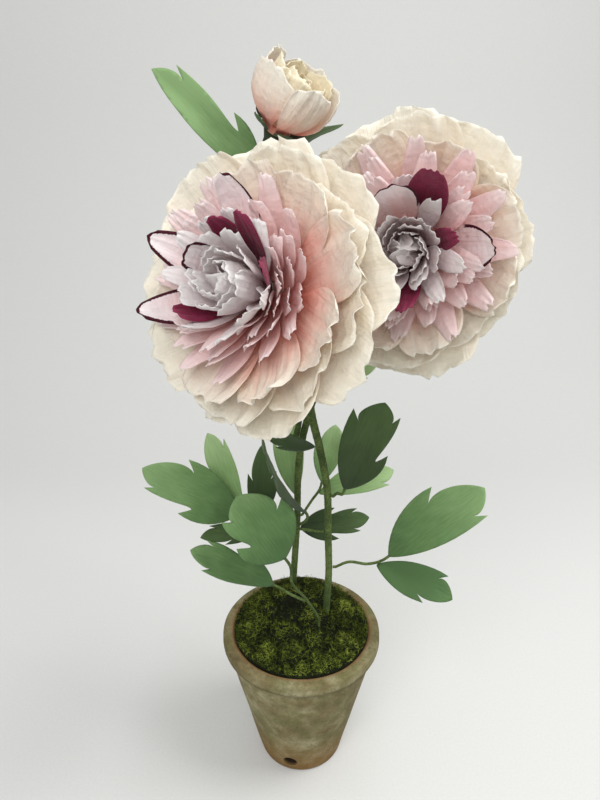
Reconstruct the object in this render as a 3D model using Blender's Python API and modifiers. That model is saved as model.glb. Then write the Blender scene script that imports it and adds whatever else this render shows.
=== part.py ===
# Crepe paper peony in a terracotta pot: two open blooms, a bud, wrapped stems and lobed leaves.
# Metres, +Z up. The origin is the centre of the pot's underside, and the viewer stands at -Y.
import bpy
import bmesh
import math
from mathutils import Vector

# Clearances and sheet sizes
GAP = 0.0003
PETAL_THICK = 0.0005
LEAF_THICK = 0.0008

# Pot
POT_HEIGHT = 0.1735
POT_FOOT_R = 0.0493
POT_RIM_R = 0.090
POT_RIM_WIDTH = 0.0113
POT_RIM_OVERHANG = 0.0045
POT_RIM_DROP = 0.0146
POT_MOUTH_R = POT_RIM_R - POT_RIM_WIDTH
POT_BODY_R = POT_RIM_R - POT_RIM_OVERHANG
POT_WALL = 0.0095
POT_FLOOR = 0.0095
POT_INNER_DROP = 0.0235
POT_INNER_TOP_Z = POT_HEIGHT - POT_INNER_DROP
DRAIN_R = 0.008
DRAIN_Z = 0.0180
DRAIN_TURN = 14.0

# Foam block and moss mound
FOAM_FROM_Z = 0.040
SOCKET_DEPTH = 0.080
MOSS_RISE = 0.016
MOSS_HUMP = 0.022
MOSS_WIRE_SUNK = 0.0155
MOSS_WIRE_CLEAR = 0.0225

# Stems and wires
STEM_R = 0.0040
BUD_STEM_R = 0.0034
TAPE = 0.0003
WIRE_R = 0.0016
LEAF_FOOT = 0.0012

# Bloom cores and the collars on them
CORE_R = 0.0155
CORE_TAPER = 0.52
CORE_LENGTH = 0.048
CORE_DROP = 0.0055
COLLAR = 0.0031
LEVEL_PITCH = 0.0038

# Where the three heads stand, how far they turn to the viewer's left and how far they look up
FRONT_HEAD = ((-0.017, -0.100, 0.578), 35.0, 20.0)
BACK_HEAD = ((0.105, 0.015, 0.599), 18.0, 6.0)
BUD_HEAD = ((-0.0234, 0.050, 0.704), -55.0, 52.0)
BACK_SCALE = 1.09
BUD_SCALE = 0.80

# Centre lines of the stems, from the foam upwards
FRONT_STEM = ((0.0285, 0.008, 0.150), (0.029, 0.008, 0.185), (0.031, 0.005, 0.247), (0.029, 0.0, 0.299),
              (0.0267, -0.005, 0.359), (0.0187, -0.010, 0.405), (0.010, -0.024, 0.447),
              (0.004, -0.046, 0.500), (0.003, -0.072, 0.548))
BACK_STEM = ((-0.011, 0.042, 0.150), (-0.010, 0.043, 0.185), (-0.005, 0.045, 0.280), (0.001, 0.042, 0.391),
             (0.012, 0.050, 0.432), (0.042, 0.066, 0.505), (0.084, 0.074, 0.568), (0.113, 0.056, 0.593))
BUD_STEM = ((-0.012, 0.056, 0.480), (-0.018, 0.066, 0.560), (-0.034, 0.066, 0.640), (-0.0365, 0.060, 0.680))
BUD_TAPED_Z = (0.388, 0.408)


def remove_all():
    """Clear the objects that the scene starts with."""
    for old in list(bpy.data.objects):
        bpy.data.objects.remove(old, do_unlink=True)


def new_collection(name):
    """A collection linked to the scene."""
    group = bpy.data.collections.new(name)
    bpy.context.scene.collection.children.link(group)
    return group


remove_all()
PARTS = new_collection("crepe_paper_peony")
CUTTERS = new_collection("cutters")


def material(name, colour, roughness):
    """A plain Principled material."""
    mat = bpy.data.materials.new(name)
    mat.use_nodes = True
    mat.diffuse_color = (*colour, 1.0)
    shader = mat.node_tree.nodes["Principled BSDF"]
    shader.inputs["Base Color"].default_value = (*colour, 1.0)
    shader.inputs["Roughness"].default_value = roughness
    shader.inputs["Metallic"].default_value = 0.0
    return mat


def place(obj, mat, group=None):
    """Give an object its material and its collection."""
    obj.data.materials.append(mat)
    (group or PARTS).objects.link(obj)
    return obj


def mesh_object(name, verts, faces, mat):
    """A mesh object from points and faces."""
    mesh = bpy.data.meshes.new(name)
    mesh.from_pydata(verts, [], faces)
    mesh.update()
    return place(bpy.data.objects.new(name, mesh), mat)


def screwed(name, profile, steps, mat):
    """A turned body from a profile that runs down its outer side."""
    verts = [(r, 0.0, z) for r, z in profile]
    mesh = bpy.data.meshes.new(name)
    mesh.from_pydata(verts, [(i, i + 1) for i in range(len(verts) - 1)], [])
    obj = place(bpy.data.objects.new(name, mesh), mat)
    turn = obj.modifiers.new("turn", "SCREW")
    turn.steps = steps
    turn.render_steps = steps
    turn.use_merge_vertices = True
    turn.merge_threshold = 0.00001
    turn.use_normal_calculate = False
    return obj


def aim(obj, head):
    """Stand an object at a head: its own +Z looks the way the bloom looks."""
    spot, turn, rise = head
    obj.location = spot
    obj.rotation_euler = (math.radians(90.0 - rise), 0.0, -math.radians(turn))
    return obj


def look(head):
    """The direction that a head looks in."""
    turn = math.radians(head[1])
    rise = math.radians(head[2])
    return Vector((-math.sin(turn) * math.cos(rise), -math.cos(turn) * math.cos(rise), math.sin(rise)))


def smooth_path(points, steps):
    """A rounded line through the points, with no overshoot where they stand close."""
    pts = [Vector(p) for p in points]
    legs = [(b - a).length for a, b in zip(pts, pts[1:])]
    ways = [(pts[1] - pts[0]).normalized()]
    for i in range(1, len(pts) - 1):
        before = (pts[i] - pts[i - 1]) / legs[i - 1]
        after = (pts[i + 1] - pts[i]) / legs[i]
        ways.append((before * legs[i] + after * legs[i - 1]).normalized())
    ways.append((pts[-1] - pts[-2]).normalized())
    line = []
    for i, leg in enumerate(legs):
        for k in range(steps):
            t = k / steps
            line.append(pts[i] * (1 - t) ** 2 * (1 + 2 * t) + pts[i + 1] * t * t * (3 - 2 * t)
                        + ways[i] * (leg * t * (1 - t) ** 2) - ways[i + 1] * (leg * t * t * (1 - t)))
    line.append(pts[-1])
    return line


def tube(name, line, radius, mat):
    """A wrapped wire: a round bevel along a line, with closed ends."""
    data = bpy.data.curves.new(name, "CURVE")
    data.dimensions = "3D"
    data.bevel_depth = radius
    data.bevel_resolution = 2
    data.use_fill_caps = True
    spline = data.splines.new("POLY")
    spline.points.add(len(line) - 1)
    for point, spot in zip(spline.points, line):
        point.co = (*spot, 1.0)
    return place(bpy.data.objects.new(name, data), mat)


def cylinder(name, start, end, radius, segments, mat, group):
    """A straight round bar between two places."""
    axis = Vector(end) - Vector(start)
    mesh = bpy.data.meshes.new(name)
    bm = bmesh.new()
    bmesh.ops.create_cone(bm, cap_ends=True, segments=segments, radius1=radius, radius2=radius,
                          depth=axis.length)
    bm.to_mesh(mesh)
    bm.free()
    obj = place(bpy.data.objects.new(name, mesh), mat, group)
    obj.location = (Vector(start) + Vector(end)) / 2
    obj.rotation_euler = axis.to_track_quat("Z", "Y").to_euler()
    return obj


def cut(body, cutter):
    """Take a cutter's shape out of a body."""
    cutter.hide_render = True
    cutter.display_type = "WIRE"
    step = body.modifiers.new(cutter.name, "BOOLEAN")
    step.operation = "DIFFERENCE"
    step.solver = "EXACT"
    step.object = cutter


# Materials
TERRACOTTA = material("aged_terracotta", (0.36, 0.24, 0.15), 0.85)
FOAM = material("florist_foam", (0.10, 0.20, 0.09), 0.95)
MOSS = material("dried_moss", (0.09, 0.11, 0.035), 0.95)
STEM = material("stem_crepe_olive", (0.16, 0.19, 0.06), 0.75)
LEAF_LIGHT = material("leaf_crepe_light", (0.26, 0.42, 0.20), 0.7)
LEAF_MID = material("leaf_crepe_mid", (0.12, 0.24, 0.10), 0.7)
LEAF_DARK = material("leaf_crepe_dark", (0.035, 0.07, 0.045), 0.7)
CREAM = material("petal_crepe_cream", (0.84, 0.74, 0.60), 0.7)
PEACH = material("petal_crepe_peach", (0.80, 0.56, 0.44), 0.7)
PINK = material("petal_crepe_pink", (0.76, 0.50, 0.49), 0.7)
LAVENDER = material("petal_crepe_lavender", (0.62, 0.56, 0.60), 0.7)
WHITE_EDGED = material("petal_crepe_white_edged", (0.80, 0.76, 0.76), 0.7)
BURGUNDY = material("petal_crepe_burgundy", (0.14, 0.012, 0.045), 0.65)
CORE = material("core_crepe", (0.66, 0.60, 0.55), 0.8)


# Pot: inner wall and rim first, then down the outer side to the centre of the underside
def pot_inner_r(z):
    """Radius of the pot's inner wall at a height."""
    foot = POT_FOOT_R - POT_WALL
    top = POT_BODY_R - POT_WALL
    return foot + (top - foot) * (z - POT_FLOOR) / (POT_INNER_TOP_Z - POT_FLOOR)


RIM_UNDER_Z = POT_HEIGHT - POT_RIM_DROP
pot = screwed("terracotta_pot", [
    (0.0, POT_FLOOR),
    (POT_FOOT_R - POT_WALL - 0.003, POT_FLOOR),
    (pot_inner_r(POT_FLOOR + 0.003), POT_FLOOR + 0.003),
    (pot_inner_r(POT_INNER_TOP_Z), POT_INNER_TOP_Z),
    (POT_MOUTH_R - 0.0055, POT_HEIGHT - 0.0085),
    (POT_MOUTH_R, POT_HEIGHT - 0.0025),
    (POT_MOUTH_R + 0.0025, POT_HEIGHT),
    (POT_RIM_R - 0.0030, POT_HEIGHT),
    (POT_RIM_R, POT_HEIGHT - 0.0030),
    (POT_RIM_R, RIM_UNDER_Z + 0.0035),
    (POT_RIM_R - POT_RIM_OVERHANG * 0.3, RIM_UNDER_Z + 0.0010),
    (POT_BODY_R + POT_RIM_OVERHANG * 0.2, RIM_UNDER_Z),
    (POT_BODY_R, RIM_UNDER_Z - 0.0025),
    (POT_FOOT_R + 0.0003, 0.0020),
    (POT_FOOT_R - 0.0015, 0.0),
    (0.0, 0.0),
], 40, TERRACOTTA)
drain_side = Vector((-math.sin(math.radians(DRAIN_TURN)), -math.cos(math.radians(DRAIN_TURN)), 0.0))
drain_height = Vector((0.0, 0.0, DRAIN_Z))
cut(pot, cylinder("drain_cutter", drain_side * (POT_FOOT_R - POT_WALL - 0.006) + drain_height,
                  drain_side * (POT_FOOT_R + 0.02) + drain_height, DRAIN_R, 16, TERRACOTTA, CUTTERS))

# Foam block, wedged in the tapered pot, with a socket for each stem
foam = screwed("foam_block", [
    (0.0, POT_INNER_TOP_Z),
    (pot_inner_r(POT_INNER_TOP_Z) - GAP, POT_INNER_TOP_Z),
    (pot_inner_r(FOAM_FROM_Z) - GAP, FOAM_FROM_Z),
    (0.0, FOAM_FROM_Z),
], 24, FOAM)


# Moss mound: a lumpy dome that fills the rim, seated on the foam
def moss_top(x, y):
    """Height of the mound over the rim: highest at the back between the stems."""
    hump = MOSS_HUMP * math.exp(-((x + 0.004) ** 2 + (y - 0.040) ** 2) / (2 * 0.034 ** 2))
    lump = 0.0030 * math.sin(150 * x + 1.3) * math.sin(170 * y + 0.4) + 0.0018 * math.sin(260 * (x + y))
    return hump + lump


def moss_mesh():
    """Rings of points: the seat below, the mouth of the pot, then the mound."""
    count = 24
    seat = [
        (0.030, POT_INNER_TOP_Z + GAP),
        (pot_inner_r(POT_INNER_TOP_Z) - 0.0008, POT_INNER_TOP_Z + GAP),
        (POT_MOUTH_R - 0.0063, POT_HEIGHT - 0.0085),
        (POT_MOUTH_R - 0.0010, POT_HEIGHT - 0.0025),
    ]
    verts = [(0.0, 0.0, POT_INNER_TOP_Z + GAP)]
    for radius, z in seat:
        verts += [(radius * math.cos(math.tau * i / count), radius * math.sin(math.tau * i / count), z)
                  for i in range(count)]
    domes = (0.972, 0.88, 0.74, 0.58, 0.42, 0.24)
    for share in domes:
        for i in range(count):
            x = POT_MOUTH_R * share * math.cos(math.tau * i / count)
            y = POT_MOUTH_R * share * math.sin(math.tau * i / count)
            dome = MOSS_RISE * math.sqrt(1 - share ** 2)
            verts.append((x, y, POT_HEIGHT + dome * 0.6 + moss_top(x, y) * (1 - share ** 4)))
    verts.append((0.0, 0.0, POT_HEIGHT + MOSS_RISE * 0.6 + moss_top(0.0, 0.0)))
    rings = len(seat) + len(domes)
    faces = [(0, 1 + (i + 1) % count, 1 + i) for i in range(count)]
    for ring in range(rings - 1):
        low = 1 + ring * count
        for i in range(count):
            j = (i + 1) % count
            faces.append((low + i, low + j, low + count + j, low + count + i))
    last = 1 + (rings - 1) * count
    faces += [(last + i, last + (i + 1) % count, len(verts) - 1) for i in range(count)]
    return verts, faces


moss = mesh_object("moss_mound", *moss_mesh(), MOSS)


# Stems
def sunk(points, depth):
    """The straight lower end of a stem, down in its socket."""
    start = Vector(points[0])
    return [start + (start - Vector(points[1])).normalized() * depth]


def head_end(head, scale=1.0):
    """The last two places of a stem: it meets the core's underside along the way the head looks."""
    way = look(head)
    stop = Vector(head[0]) - way * (CORE_DROP * scale + GAP)
    return [stop - way * 0.014, stop]


def on_line(line, z):
    """Where a stem or wire passes a height, and the way it runs there."""
    for a, b in zip(line, line[1:]):
        if a.z <= z <= b.z:
            return a.lerp(b, (z - a.z) / (b.z - a.z)), (b - a).normalized()
    return line[-1], (line[-1] - line[-2]).normalized()


def along_line(line, share):
    """The place at a share of a wire's points, and the way it runs there."""
    i = min(int(share * (len(line) - 1)), len(line) - 2)
    return line[i].lerp(line[i + 1], share * (len(line) - 1) - i), (line[i + 1] - line[i]).normalized()


def beside(spot_way, toward, radius, half):
    """A place just clear of a stem or wire, square off its side that looks to another place."""
    spot, way = spot_way
    off = Vector(toward) - spot
    square = (off - way * off.dot(way)).normalized()
    tilt = math.sqrt(max(0.0, 1 - off.normalized().dot(square) ** 2))
    return spot + square * (radius + GAP + half * tilt)


def taped(z):
    """A place of the bud's stem where it is taped along the back bloom's stem."""
    return beside(on_line(PATHS["back"], z), BUD_STEM[0], STEM_R + BUD_STEM_R + TAPE, 0.0)


PATHS = {
    "front": sunk(FRONT_STEM, SOCKET_DEPTH) + smooth_path(list(FRONT_STEM) + head_end(FRONT_HEAD), 2),
    "back": sunk(BACK_STEM, SOCKET_DEPTH) + smooth_path(list(BACK_STEM) + head_end(BACK_HEAD, BACK_SCALE), 2),
}
bud_points = [taped(z) for z in BUD_TAPED_Z] + list(BUD_STEM) + head_end(BUD_HEAD, BUD_SCALE)
PATHS["bud"] = smooth_path(bud_points, 3)
for key, line in PATHS.items():
    tube(key + "_stem", line, BUD_STEM_R if key == "bud" else STEM_R, STEM)


# Where each leaf starts and ends
LEAF_ENDS = {
    "big_front": ((-0.0165, -0.0445, 0.2985), (-0.0640, -0.034, 0.3660)),
    "low_left": ((-0.0310, -0.010, 0.2385), (-0.1155, -0.030, 0.2985)),
    "far_left": ((-0.0680, 0.0, 0.3225), (-0.1595, -0.020, 0.389)),
    "edge_on": ((0.0040, -0.020, 0.3385), (-0.0365, -0.050, 0.438)),
    "rear_mid": ((0.0240, 0.060, 0.329), (0.040, 0.086, 0.390)),
    "upper_dark": ((0.0440, -0.020, 0.3650), (0.080, -0.022, 0.460)),
    "right_large": ((0.0950, -0.010, 0.2766), (0.184, -0.026, 0.370)),
}


def wire_end(key):
    """The last two places of a wire: it runs into its leaf the way the leaf runs."""
    base, tip = (Vector(p) for p in LEAF_ENDS[key])
    way = (tip - base).normalized()
    return [base - way * 0.006, base - way * GAP]


# Leaf wires, each one starting square off a stem or another wire
def wire(name, start, radius, points):
    """A thin wrapped wire; returns its centre line."""
    first = beside(start, points[0], radius, 0.0)
    second = first + (first - start[0]).normalized() * 0.003
    line = [first] + smooth_path([second] + [Vector(p) for p in points], 3)
    tube(name, line, WIRE_R, STEM)
    return line


MOSS_WIRE = [Vector((0.020, -0.014, POT_HEIGHT - MOSS_WIRE_SUNK)),
             Vector((0.020, -0.014, POT_HEIGHT + MOSS_WIRE_CLEAR))]
moss_points = [MOSS_WIRE[1], (0.006, -0.022, 0.228), (-0.010, -0.036, 0.262)] + wire_end("big_front")
moss_line = MOSS_WIRE[:1] + smooth_path(moss_points, 3)
tube("wire_big_leaf", moss_line, WIRE_R, STEM)
low_line = wire("wire_low_left", on_line(moss_line, 0.226), WIRE_R,
                [(-0.014, -0.016, 0.232)] + wire_end("low_left"))
right_line = wire("wire_right", on_line(PATHS["front"], 0.252), STEM_R,
                  [(0.052, 0.002, 0.260), (0.074, -0.004, 0.262)] + wire_end("right_large"))
left_line = wire("wire_left", on_line(PATHS["front"], 0.302), STEM_R,
                 [(0.0, -0.004, 0.307), (-0.030, -0.002, 0.312)] + wire_end("far_left"))
edge_line = wire("wire_edge_leaf", along_line(left_line, 0.32), WIRE_R,
                 [(0.004, -0.012, 0.322)] + wire_end("edge_on"))
rear_line = wire("wire_rear", on_line(PATHS["back"], 0.292), STEM_R,
                 [(0.012, 0.056, 0.306)] + wire_end("rear_mid"))
dark_line = wire("wire_upper_dark", on_line(PATHS["front"], 0.350), STEM_R,
                 [(0.037, -0.013, 0.356)] + wire_end("upper_dark"))

# Cutters for the sockets, a clearance wider than the stems
SOCKETS = (("front", PATHS["front"][0], PATHS["front"][1], STEM_R),
           ("back", PATHS["back"][0], PATHS["back"][1], STEM_R),
           ("wire", MOSS_WIRE[0], MOSS_WIRE[1], WIRE_R))
for key, low, high, radius in SOCKETS:
    way = (high - low).normalized()
    bar = cylinder(key + "_socket", low - way * 0.001, high + way * 0.09, radius + 0.0007, 12, MOSS, CUTTERS)
    cut(moss, bar)
    if key != "wire":
        cut(foam, bar)


# Leaf blades
def leaf_side(lobes, reach):
    """Outline of one side: (place of the midrib line, place along, width), lobes swept to the tip."""
    line = [(0.0, 0.0, LEAF_FOOT)]
    start = 0.0
    for at, width in lobes:
        wide = width * reach
        line.append((start + (at - start) * 0.22, start + (at - start) * 0.26, wide * 0.60))
        line.append((start + (at - start) * 0.50, start + (at - start) * 0.62, wide * 0.98))
        line.append((start + (at - start) * 0.74, at - 0.02, wide))
        line.append((start + (at - start) * 0.84, at + 0.015, wide * 0.86))
        line.append((at - (at - start) * 0.06, at + 0.012, wide * 0.68))
        start = at
    line.append((start + (1 - start) * 0.30, start + (1 - start) * 0.36, wide * 0.70))
    line.append((start + (1 - start) * 0.66, start + (1 - start) * 0.76, wide * 0.42))
    line.append((start + (1 - start) * 0.86, start + (1 - start) * 0.94, wide * 0.16))
    line.append((0.99, 1.0, 0.0006))
    return line


def even_side(line, count):
    """The same outline with a set number of stations, its own corners kept."""
    while len(line) < count:
        gaps = [line[i + 1][0] - line[i][0] for i in range(len(line) - 1)]
        i = gaps.index(max(gaps))
        line = line[:i + 1] + [tuple((a + b) / 2 for a, b in zip(line[i], line[i + 1]))] + line[i + 1:]
    return line


def leaf(name, base, tip, face, reach, left, right, fold, bend, mat):
    """A blade from its base to its tip, its upper side looking along face."""
    base = Vector(base)
    along = Vector(tip) - base
    length = along.length
    along.normalize()
    up = Vector(face)
    up = (up - along * up.dot(along)).normalized()
    side = up.cross(along)
    lines = [leaf_side(left, reach), leaf_side(right, reach)]
    count = max(len(lines[0]), len(lines[1]))
    lines = [even_side(line, count) for line in lines]
    verts = []
    for k in range(count):
        mid = (lines[0][k][0] + lines[1][k][0]) / 2
        for line, sign, share in ((0, 1, 1.0), (0, 1, 0.5), (0, 0, 0.0), (1, -1, 0.5), (1, -1, 1.0)):
            u = mid + (lines[line][k][1] - mid) * share
            v = lines[line][k][2] * share
            lift = bend * length * 4 * u * (1 - u) + fold * v - 3.0 * v * v
            verts.append(base + along * (u * length) + side * (v * sign) + up * lift)
    faces = []
    for k in range(count - 1):
        for i in range(4):
            a = k * 5 + i
            faces.append((a, a + 1, a + 6, a + 5))
    obj = mesh_object(name, verts, faces, mat)
    solid = obj.modifiers.new("sheet", "SOLIDIFY")
    solid.thickness = LEAF_THICK
    solid.offset = 0.0
    return obj


ONE = ((0.62, 1.0),)
LATE = ((0.80, 1.0),)
TWO = ((0.46, 1.0), (0.78, 0.72))
def wired(key, face, reach, left, right, fold, bend, mat):
    """A leaf on the end of its own wire."""
    leaf("leaf_" + key, *LEAF_ENDS[key], face, reach, left, right, fold, bend, mat)


def seated(name, spot_way, radius, tip, face, reach, left, right, fold, bend, mat):
    """A leaf that starts square off the side of a stem or wire."""
    leaf("leaf_" + name, beside(spot_way, tip, radius, LEAF_FOOT), tip, face, reach, left, right,
         fold, bend, mat)


wired("big_front", (-0.15, -0.62, 0.77), 0.037, ((0.46, 0.92), (0.82, 0.80)), ONE, 0.22, 0.03, LEAF_MID)
wired("low_left", (-0.25, -0.45, 0.86), 0.020, LATE, ((0.42, 1.0), (0.82, 0.8)), 0.15, 0.05, LEAF_LIGHT)
wired("far_left", (-0.25, -0.66, 0.70), 0.029, ((0.50, 0.95), (0.86, 0.62)), ONE, 0.20, 0.04, LEAF_LIGHT)
wired("edge_on", (-0.88, -0.20, -0.25), 0.017, ONE, ONE, 0.30, 0.05, LEAF_MID)
wired("rear_mid", (-0.10, -0.80, 0.55), 0.017, ONE, LATE, 0.20, 0.05, LEAF_LIGHT)
wired("upper_dark", (0.05, -0.92, 0.05), 0.029, LATE, ((0.46, 0.85), (0.86, 0.7)), 0.16, 0.03, LEAF_DARK)
wired("right_large", (0.16, -0.62, 0.76), 0.033, ONE, LATE, 0.18, 0.03, LEAF_MID)
seated("left_rear", along_line(left_line, 0.80), WIRE_R, (-0.1025, 0.040, 0.400), (-0.35, -0.62, 0.60),
       0.018, ONE, LATE, 0.20, 0.02, LEAF_LIGHT)
seated("small_dark", along_line(left_line, 0.62), WIRE_R, (-0.041, 0.003, 0.403), (0.30, -0.88, 0.10),
       0.016, ONE, ONE, 0.25, 0.03, LEAF_DARK)
seated("left_sliver", along_line(left_line, 0.52), WIRE_R, (-0.107, -0.016, 0.304), (-0.10, -0.86, 0.30),
       0.012, ONE, LATE, 0.15, -0.03, LEAF_DARK)
seated("under_bloom", on_line(PATHS["front"], 0.410), STEM_R, (-0.034, -0.034, 0.434), (0.10, -0.80, -0.35),
       0.013, ONE, LATE, 0.20, 0.04, LEAF_DARK)
seated("rear_tall", on_line(PATHS["back"], 0.318), STEM_R, (-0.020, 0.092, 0.402), (-0.10, -0.80, 0.55),
       0.018, ONE, LATE, 0.20, 0.05, LEAF_LIGHT)
seated("rear_right", along_line(rear_line, 0.55), WIRE_R, (0.110, 0.080, 0.334), (0.10, -0.66, 0.72),
       0.018, ONE, LATE, 0.20, 0.06, LEAF_LIGHT)
seated("rear_dark", on_line(PATHS["back"], 0.276), STEM_R, (0.080, 0.052, 0.286), (0.0, -0.85, 0.45),
       0.019, TWO, TWO, 0.20, 0.06, LEAF_DARK)
seated("low_right", along_line(right_line, 0.62), WIRE_R, (0.160, -0.040, 0.243), (0.05, -0.58, 0.80),
       0.021, LATE, ONE, 0.20, 0.05, LEAF_MID)
seated("between_blooms", on_line(PATHS["back"], 0.462), STEM_R, (0.078, 0.036, 0.478), (0.0, -0.60, 0.80),
       0.017, ONE, LATE, 0.20, 0.03, LEAF_LIGHT)
seated("top_left", on_line(PATHS["bud"], 0.660), BUD_STEM_R, (-0.136, 0.060, 0.752), (-0.20, -0.76, 0.55),
       0.026, ONE, LATE, 0.20, 0.04, LEAF_MID)
seated("top_right", on_line(PATHS["bud"], 0.664), BUD_STEM_R, (0.040, 0.076, 0.708), (0.25, -0.30, 0.92),
       0.012, ONE, ONE, 0.25, 0.05, LEAF_DARK)


# Blooms
def core_r(z, scale):
    """Radius of a bloom's core at a height over its seat: a cone with a rounded tip."""
    share = z / (CORE_LENGTH * scale)
    cone = CORE_R * scale * (1 - CORE_TAPER * share)
    return cone if share < 0.8 else cone * math.sqrt(max(0.0, 1 - ((share - 0.8) / 0.2) ** 2))


def core(name, head, scale):
    """The spun core that the petals are glued to."""
    top = CORE_LENGTH * scale
    profile = [(0.0, top)]
    profile += [(core_r(top * k, scale), top * k) for k in (0.98, 0.92, 0.80)]
    profile += [(CORE_R * scale, 0.0), (CORE_R * scale * 0.80, -CORE_DROP * scale), (0.0, -CORE_DROP * scale)]
    return aim(screwed(name, profile, 20, CORE), head)


def broad(s):
    """Share of the full width along a broad petal: a wedge with a wide round end."""
    if s < 0.66:
        return math.sin(math.pi / 2 * s / 0.66) ** 1.15
    return math.sqrt(max(0.0, 1 - 0.84 * ((s - 0.66) / 0.34) ** 2))


def narrow(s):
    """Share of the full width along a narrow pointed petal."""
    if s < 0.60:
        return math.sin(math.pi / 2 * s / 0.60)
    return 1 - 0.86 * ((s - 0.60) / 0.40) ** 1.4


def petal_row(name, head, scale, level, count, length, width, lean, cup, spin, ruffle, form, mat,
              only=None, along=4, across=4, turn=0.0, reach=None):
    """One row of petals on a shared collar around the core, as one thin closed sheet."""
    top = (level * LEVEL_PITCH + COLLAR) * scale
    bottom = top - COLLAR * scale
    wall = GAP + PETAL_THICK
    start, end = (math.radians(a) for a in lean)
    bow = end - start
    slots = across + 1
    ring = count * slots
    verts = []
    faces = []
    step = math.tau / ring
    collar = core_r(max(bottom, 0.0), scale) + wall
    for z in (bottom, top):
        verts += [(collar * math.cos(step * i), collar * math.sin(step * i), z) for i in range(ring)]
    faces += [(i, (i + 1) % ring, ring + (i + 1) % ring, ring + i) for i in range(ring)]
    foot = collar * step * across / 2
    for petal in range(count):
        if only is not None and petal not in only:
            continue
        angle = step * (petal * slots + across / 2)
        long = length * scale * (1 + 0.03 * math.sin(2.3 * petal + 7 * turn + level))
        if reach is not None:
            long *= reach(math.degrees(angle + turn) % 360.0)
        row = [ring + petal * slots + i for i in range(across + 1)]
        for k in range(1, along + 1):
            next_row = []
            for i in range(across + 1):
                w = 2 * i / across - 1
                s = k / along * (1 - 0.07 * w * w * (k / along) ** 2)
                lean_here = start + bow * s
                r = collar + long * (math.cos(start) - math.cos(lean_here)) / bow
                z = top + long * (math.sin(lean_here) - math.sin(start)) / bow
                half = foot + (width * scale - foot) * form(s)
                bend = 1 / (math.cos(lean_here) / max(r, collar) + cup / scale)
                curl = half * w / bend
                off = bend * (1 - math.cos(curl))
                off += spin * scale * w * min(1.0, s / 0.45)
                off += ruffle * scale * s * s * math.sin(2.6 * w + 1.9 * petal + level)
                r -= math.cos(lean_here) * off
                z += math.sin(lean_here) * off
                t = bend * math.sin(curl)
                verts.append((r * math.cos(angle) - t * math.sin(angle),
                              r * math.sin(angle) + t * math.cos(angle), z))
                next_row.append(len(verts) - 1)
            for i in range(across):
                faces.append((row[i], row[i + 1], next_row[i + 1], next_row[i]))
            row = next_row
    if turn:
        verts = [(x * math.cos(turn) - y * math.sin(turn), x * math.sin(turn) + y * math.cos(turn), z)
                 for x, y, z in verts]
    obj = mesh_object(name, verts, faces, mat)
    sheet = obj.modifiers.new("sheet", "SOLIDIFY")
    sheet.thickness = PETAL_THICK
    sheet.offset = 0.0
    return aim(obj, head)


def bloom(key, head, scale, reach, burgundy, edged):
    """An open bloom: core, sepals, three cream rows, three pink rings, accents and an inner cluster.

    burgundy and edged each give the slots that are filled and the turn of their row."""
    core(key + "_core", head, scale)
    petal_row(key + "_sepals", head, scale, -1.0, 5, 0.034, 0.011, (104, 128), 1.0, 0.0, 0.0, broad,
              LEAF_MID, along=3, across=2)
    petal_row(key + "_outer_low", head, scale, 0, 8, 0.098, 0.044, (100, 66), 6.0, 0.0046, 0.0030, broad,
              CREAM, reach=reach)
    petal_row(key + "_outer_mid", head, scale, 1, 8, 0.091, 0.038, (89, 60), 6.0, 0.0042, 0.0028, broad,
              CREAM, turn=0.45, reach=reach)
    petal_row(key + "_outer_high", head, scale, 2, 8, 0.082, 0.030, (79, 53), 6.0, 0.0036, 0.0024, broad,
              PEACH, turn=0.1)
    petal_row(key + "_pink_wide", head, scale, 3, 12, 0.084, 0.0105, (69, 46), 4.0, 0.0016, 0.0008, narrow,
              PINK, turn=0.35, across=2, along=3)
    petal_row(key + "_pink_low", head, scale, 4, 12, 0.076, 0.0100, (60, 38), 4.0, 0.0016, 0.0008, narrow,
              PINK, turn=0.2, across=2, along=3)
    petal_row(key + "_edged", head, scale, 5, 8, 0.081, 0.0125, (55, 36), 6.0, 0.0012, 0.0006, broad,
              WHITE_EDGED, only=edged[0], turn=edged[1], across=3, along=4)
    petal_row(key + "_pink_high", head, scale, 6, 11, 0.067, 0.0095, (49, 29), 4.0, 0.0016, 0.0008, narrow,
              PINK, turn=0.5, across=2, along=3)
    petal_row(key + "_burgundy", head, scale, 7, 8, 0.062, 0.0120, (40, 19), 6.0, 0.0012, 0.0006, broad,
              BURGUNDY, only=burgundy[0], turn=burgundy[1], across=3, along=4)
    petal_row(key + "_inner_low", head, scale, 8, 8, 0.050, 0.0100, (28, 6), 6.0, 0.0016, 0.0005, broad,
              LAVENDER, turn=0.3, across=3, along=3)
    petal_row(key + "_inner_high", head, scale, 9, 6, 0.044, 0.0075, (15, -13), 6.0, 0.0016, 0.0004, broad,
              LAVENDER, turn=0.0, across=2, along=3)


bloom("front", FRONT_HEAD, 1.0, lambda a: 1.0, ((0, 1, 2, 5), -0.085), ((2, 3, 4), 0.09))
bloom("back", BACK_HEAD, BACK_SCALE, lambda a: 1 - 0.12 * max(0.0, math.cos(math.radians(a))),
      ((0, 1, 6), 0.02), ((0, 2, 3), -0.24))

# Bud
core("bud_core", BUD_HEAD, BUD_SCALE)
petal_row("bud_calyx", BUD_HEAD, BUD_SCALE, -1.0, 5, 0.026, 0.012, (104, 48), 4.0, 0.0010, 0.0, narrow,
          LEAF_DARK, along=4, across=2)
petal_row("bud_outer", BUD_HEAD, BUD_SCALE, 0, 5, 0.078, 0.0330, (66, -24), 1.0, 0.0056, 0.0006, broad,
          CREAM, along=5)
petal_row("bud_inner", BUD_HEAD, BUD_SCALE, 1.4, 5, 0.066, 0.0235, (44, -20), 1.0, 0.0046, 0.0004, broad,
          PEACH, turn=0.5, along=5)
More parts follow.
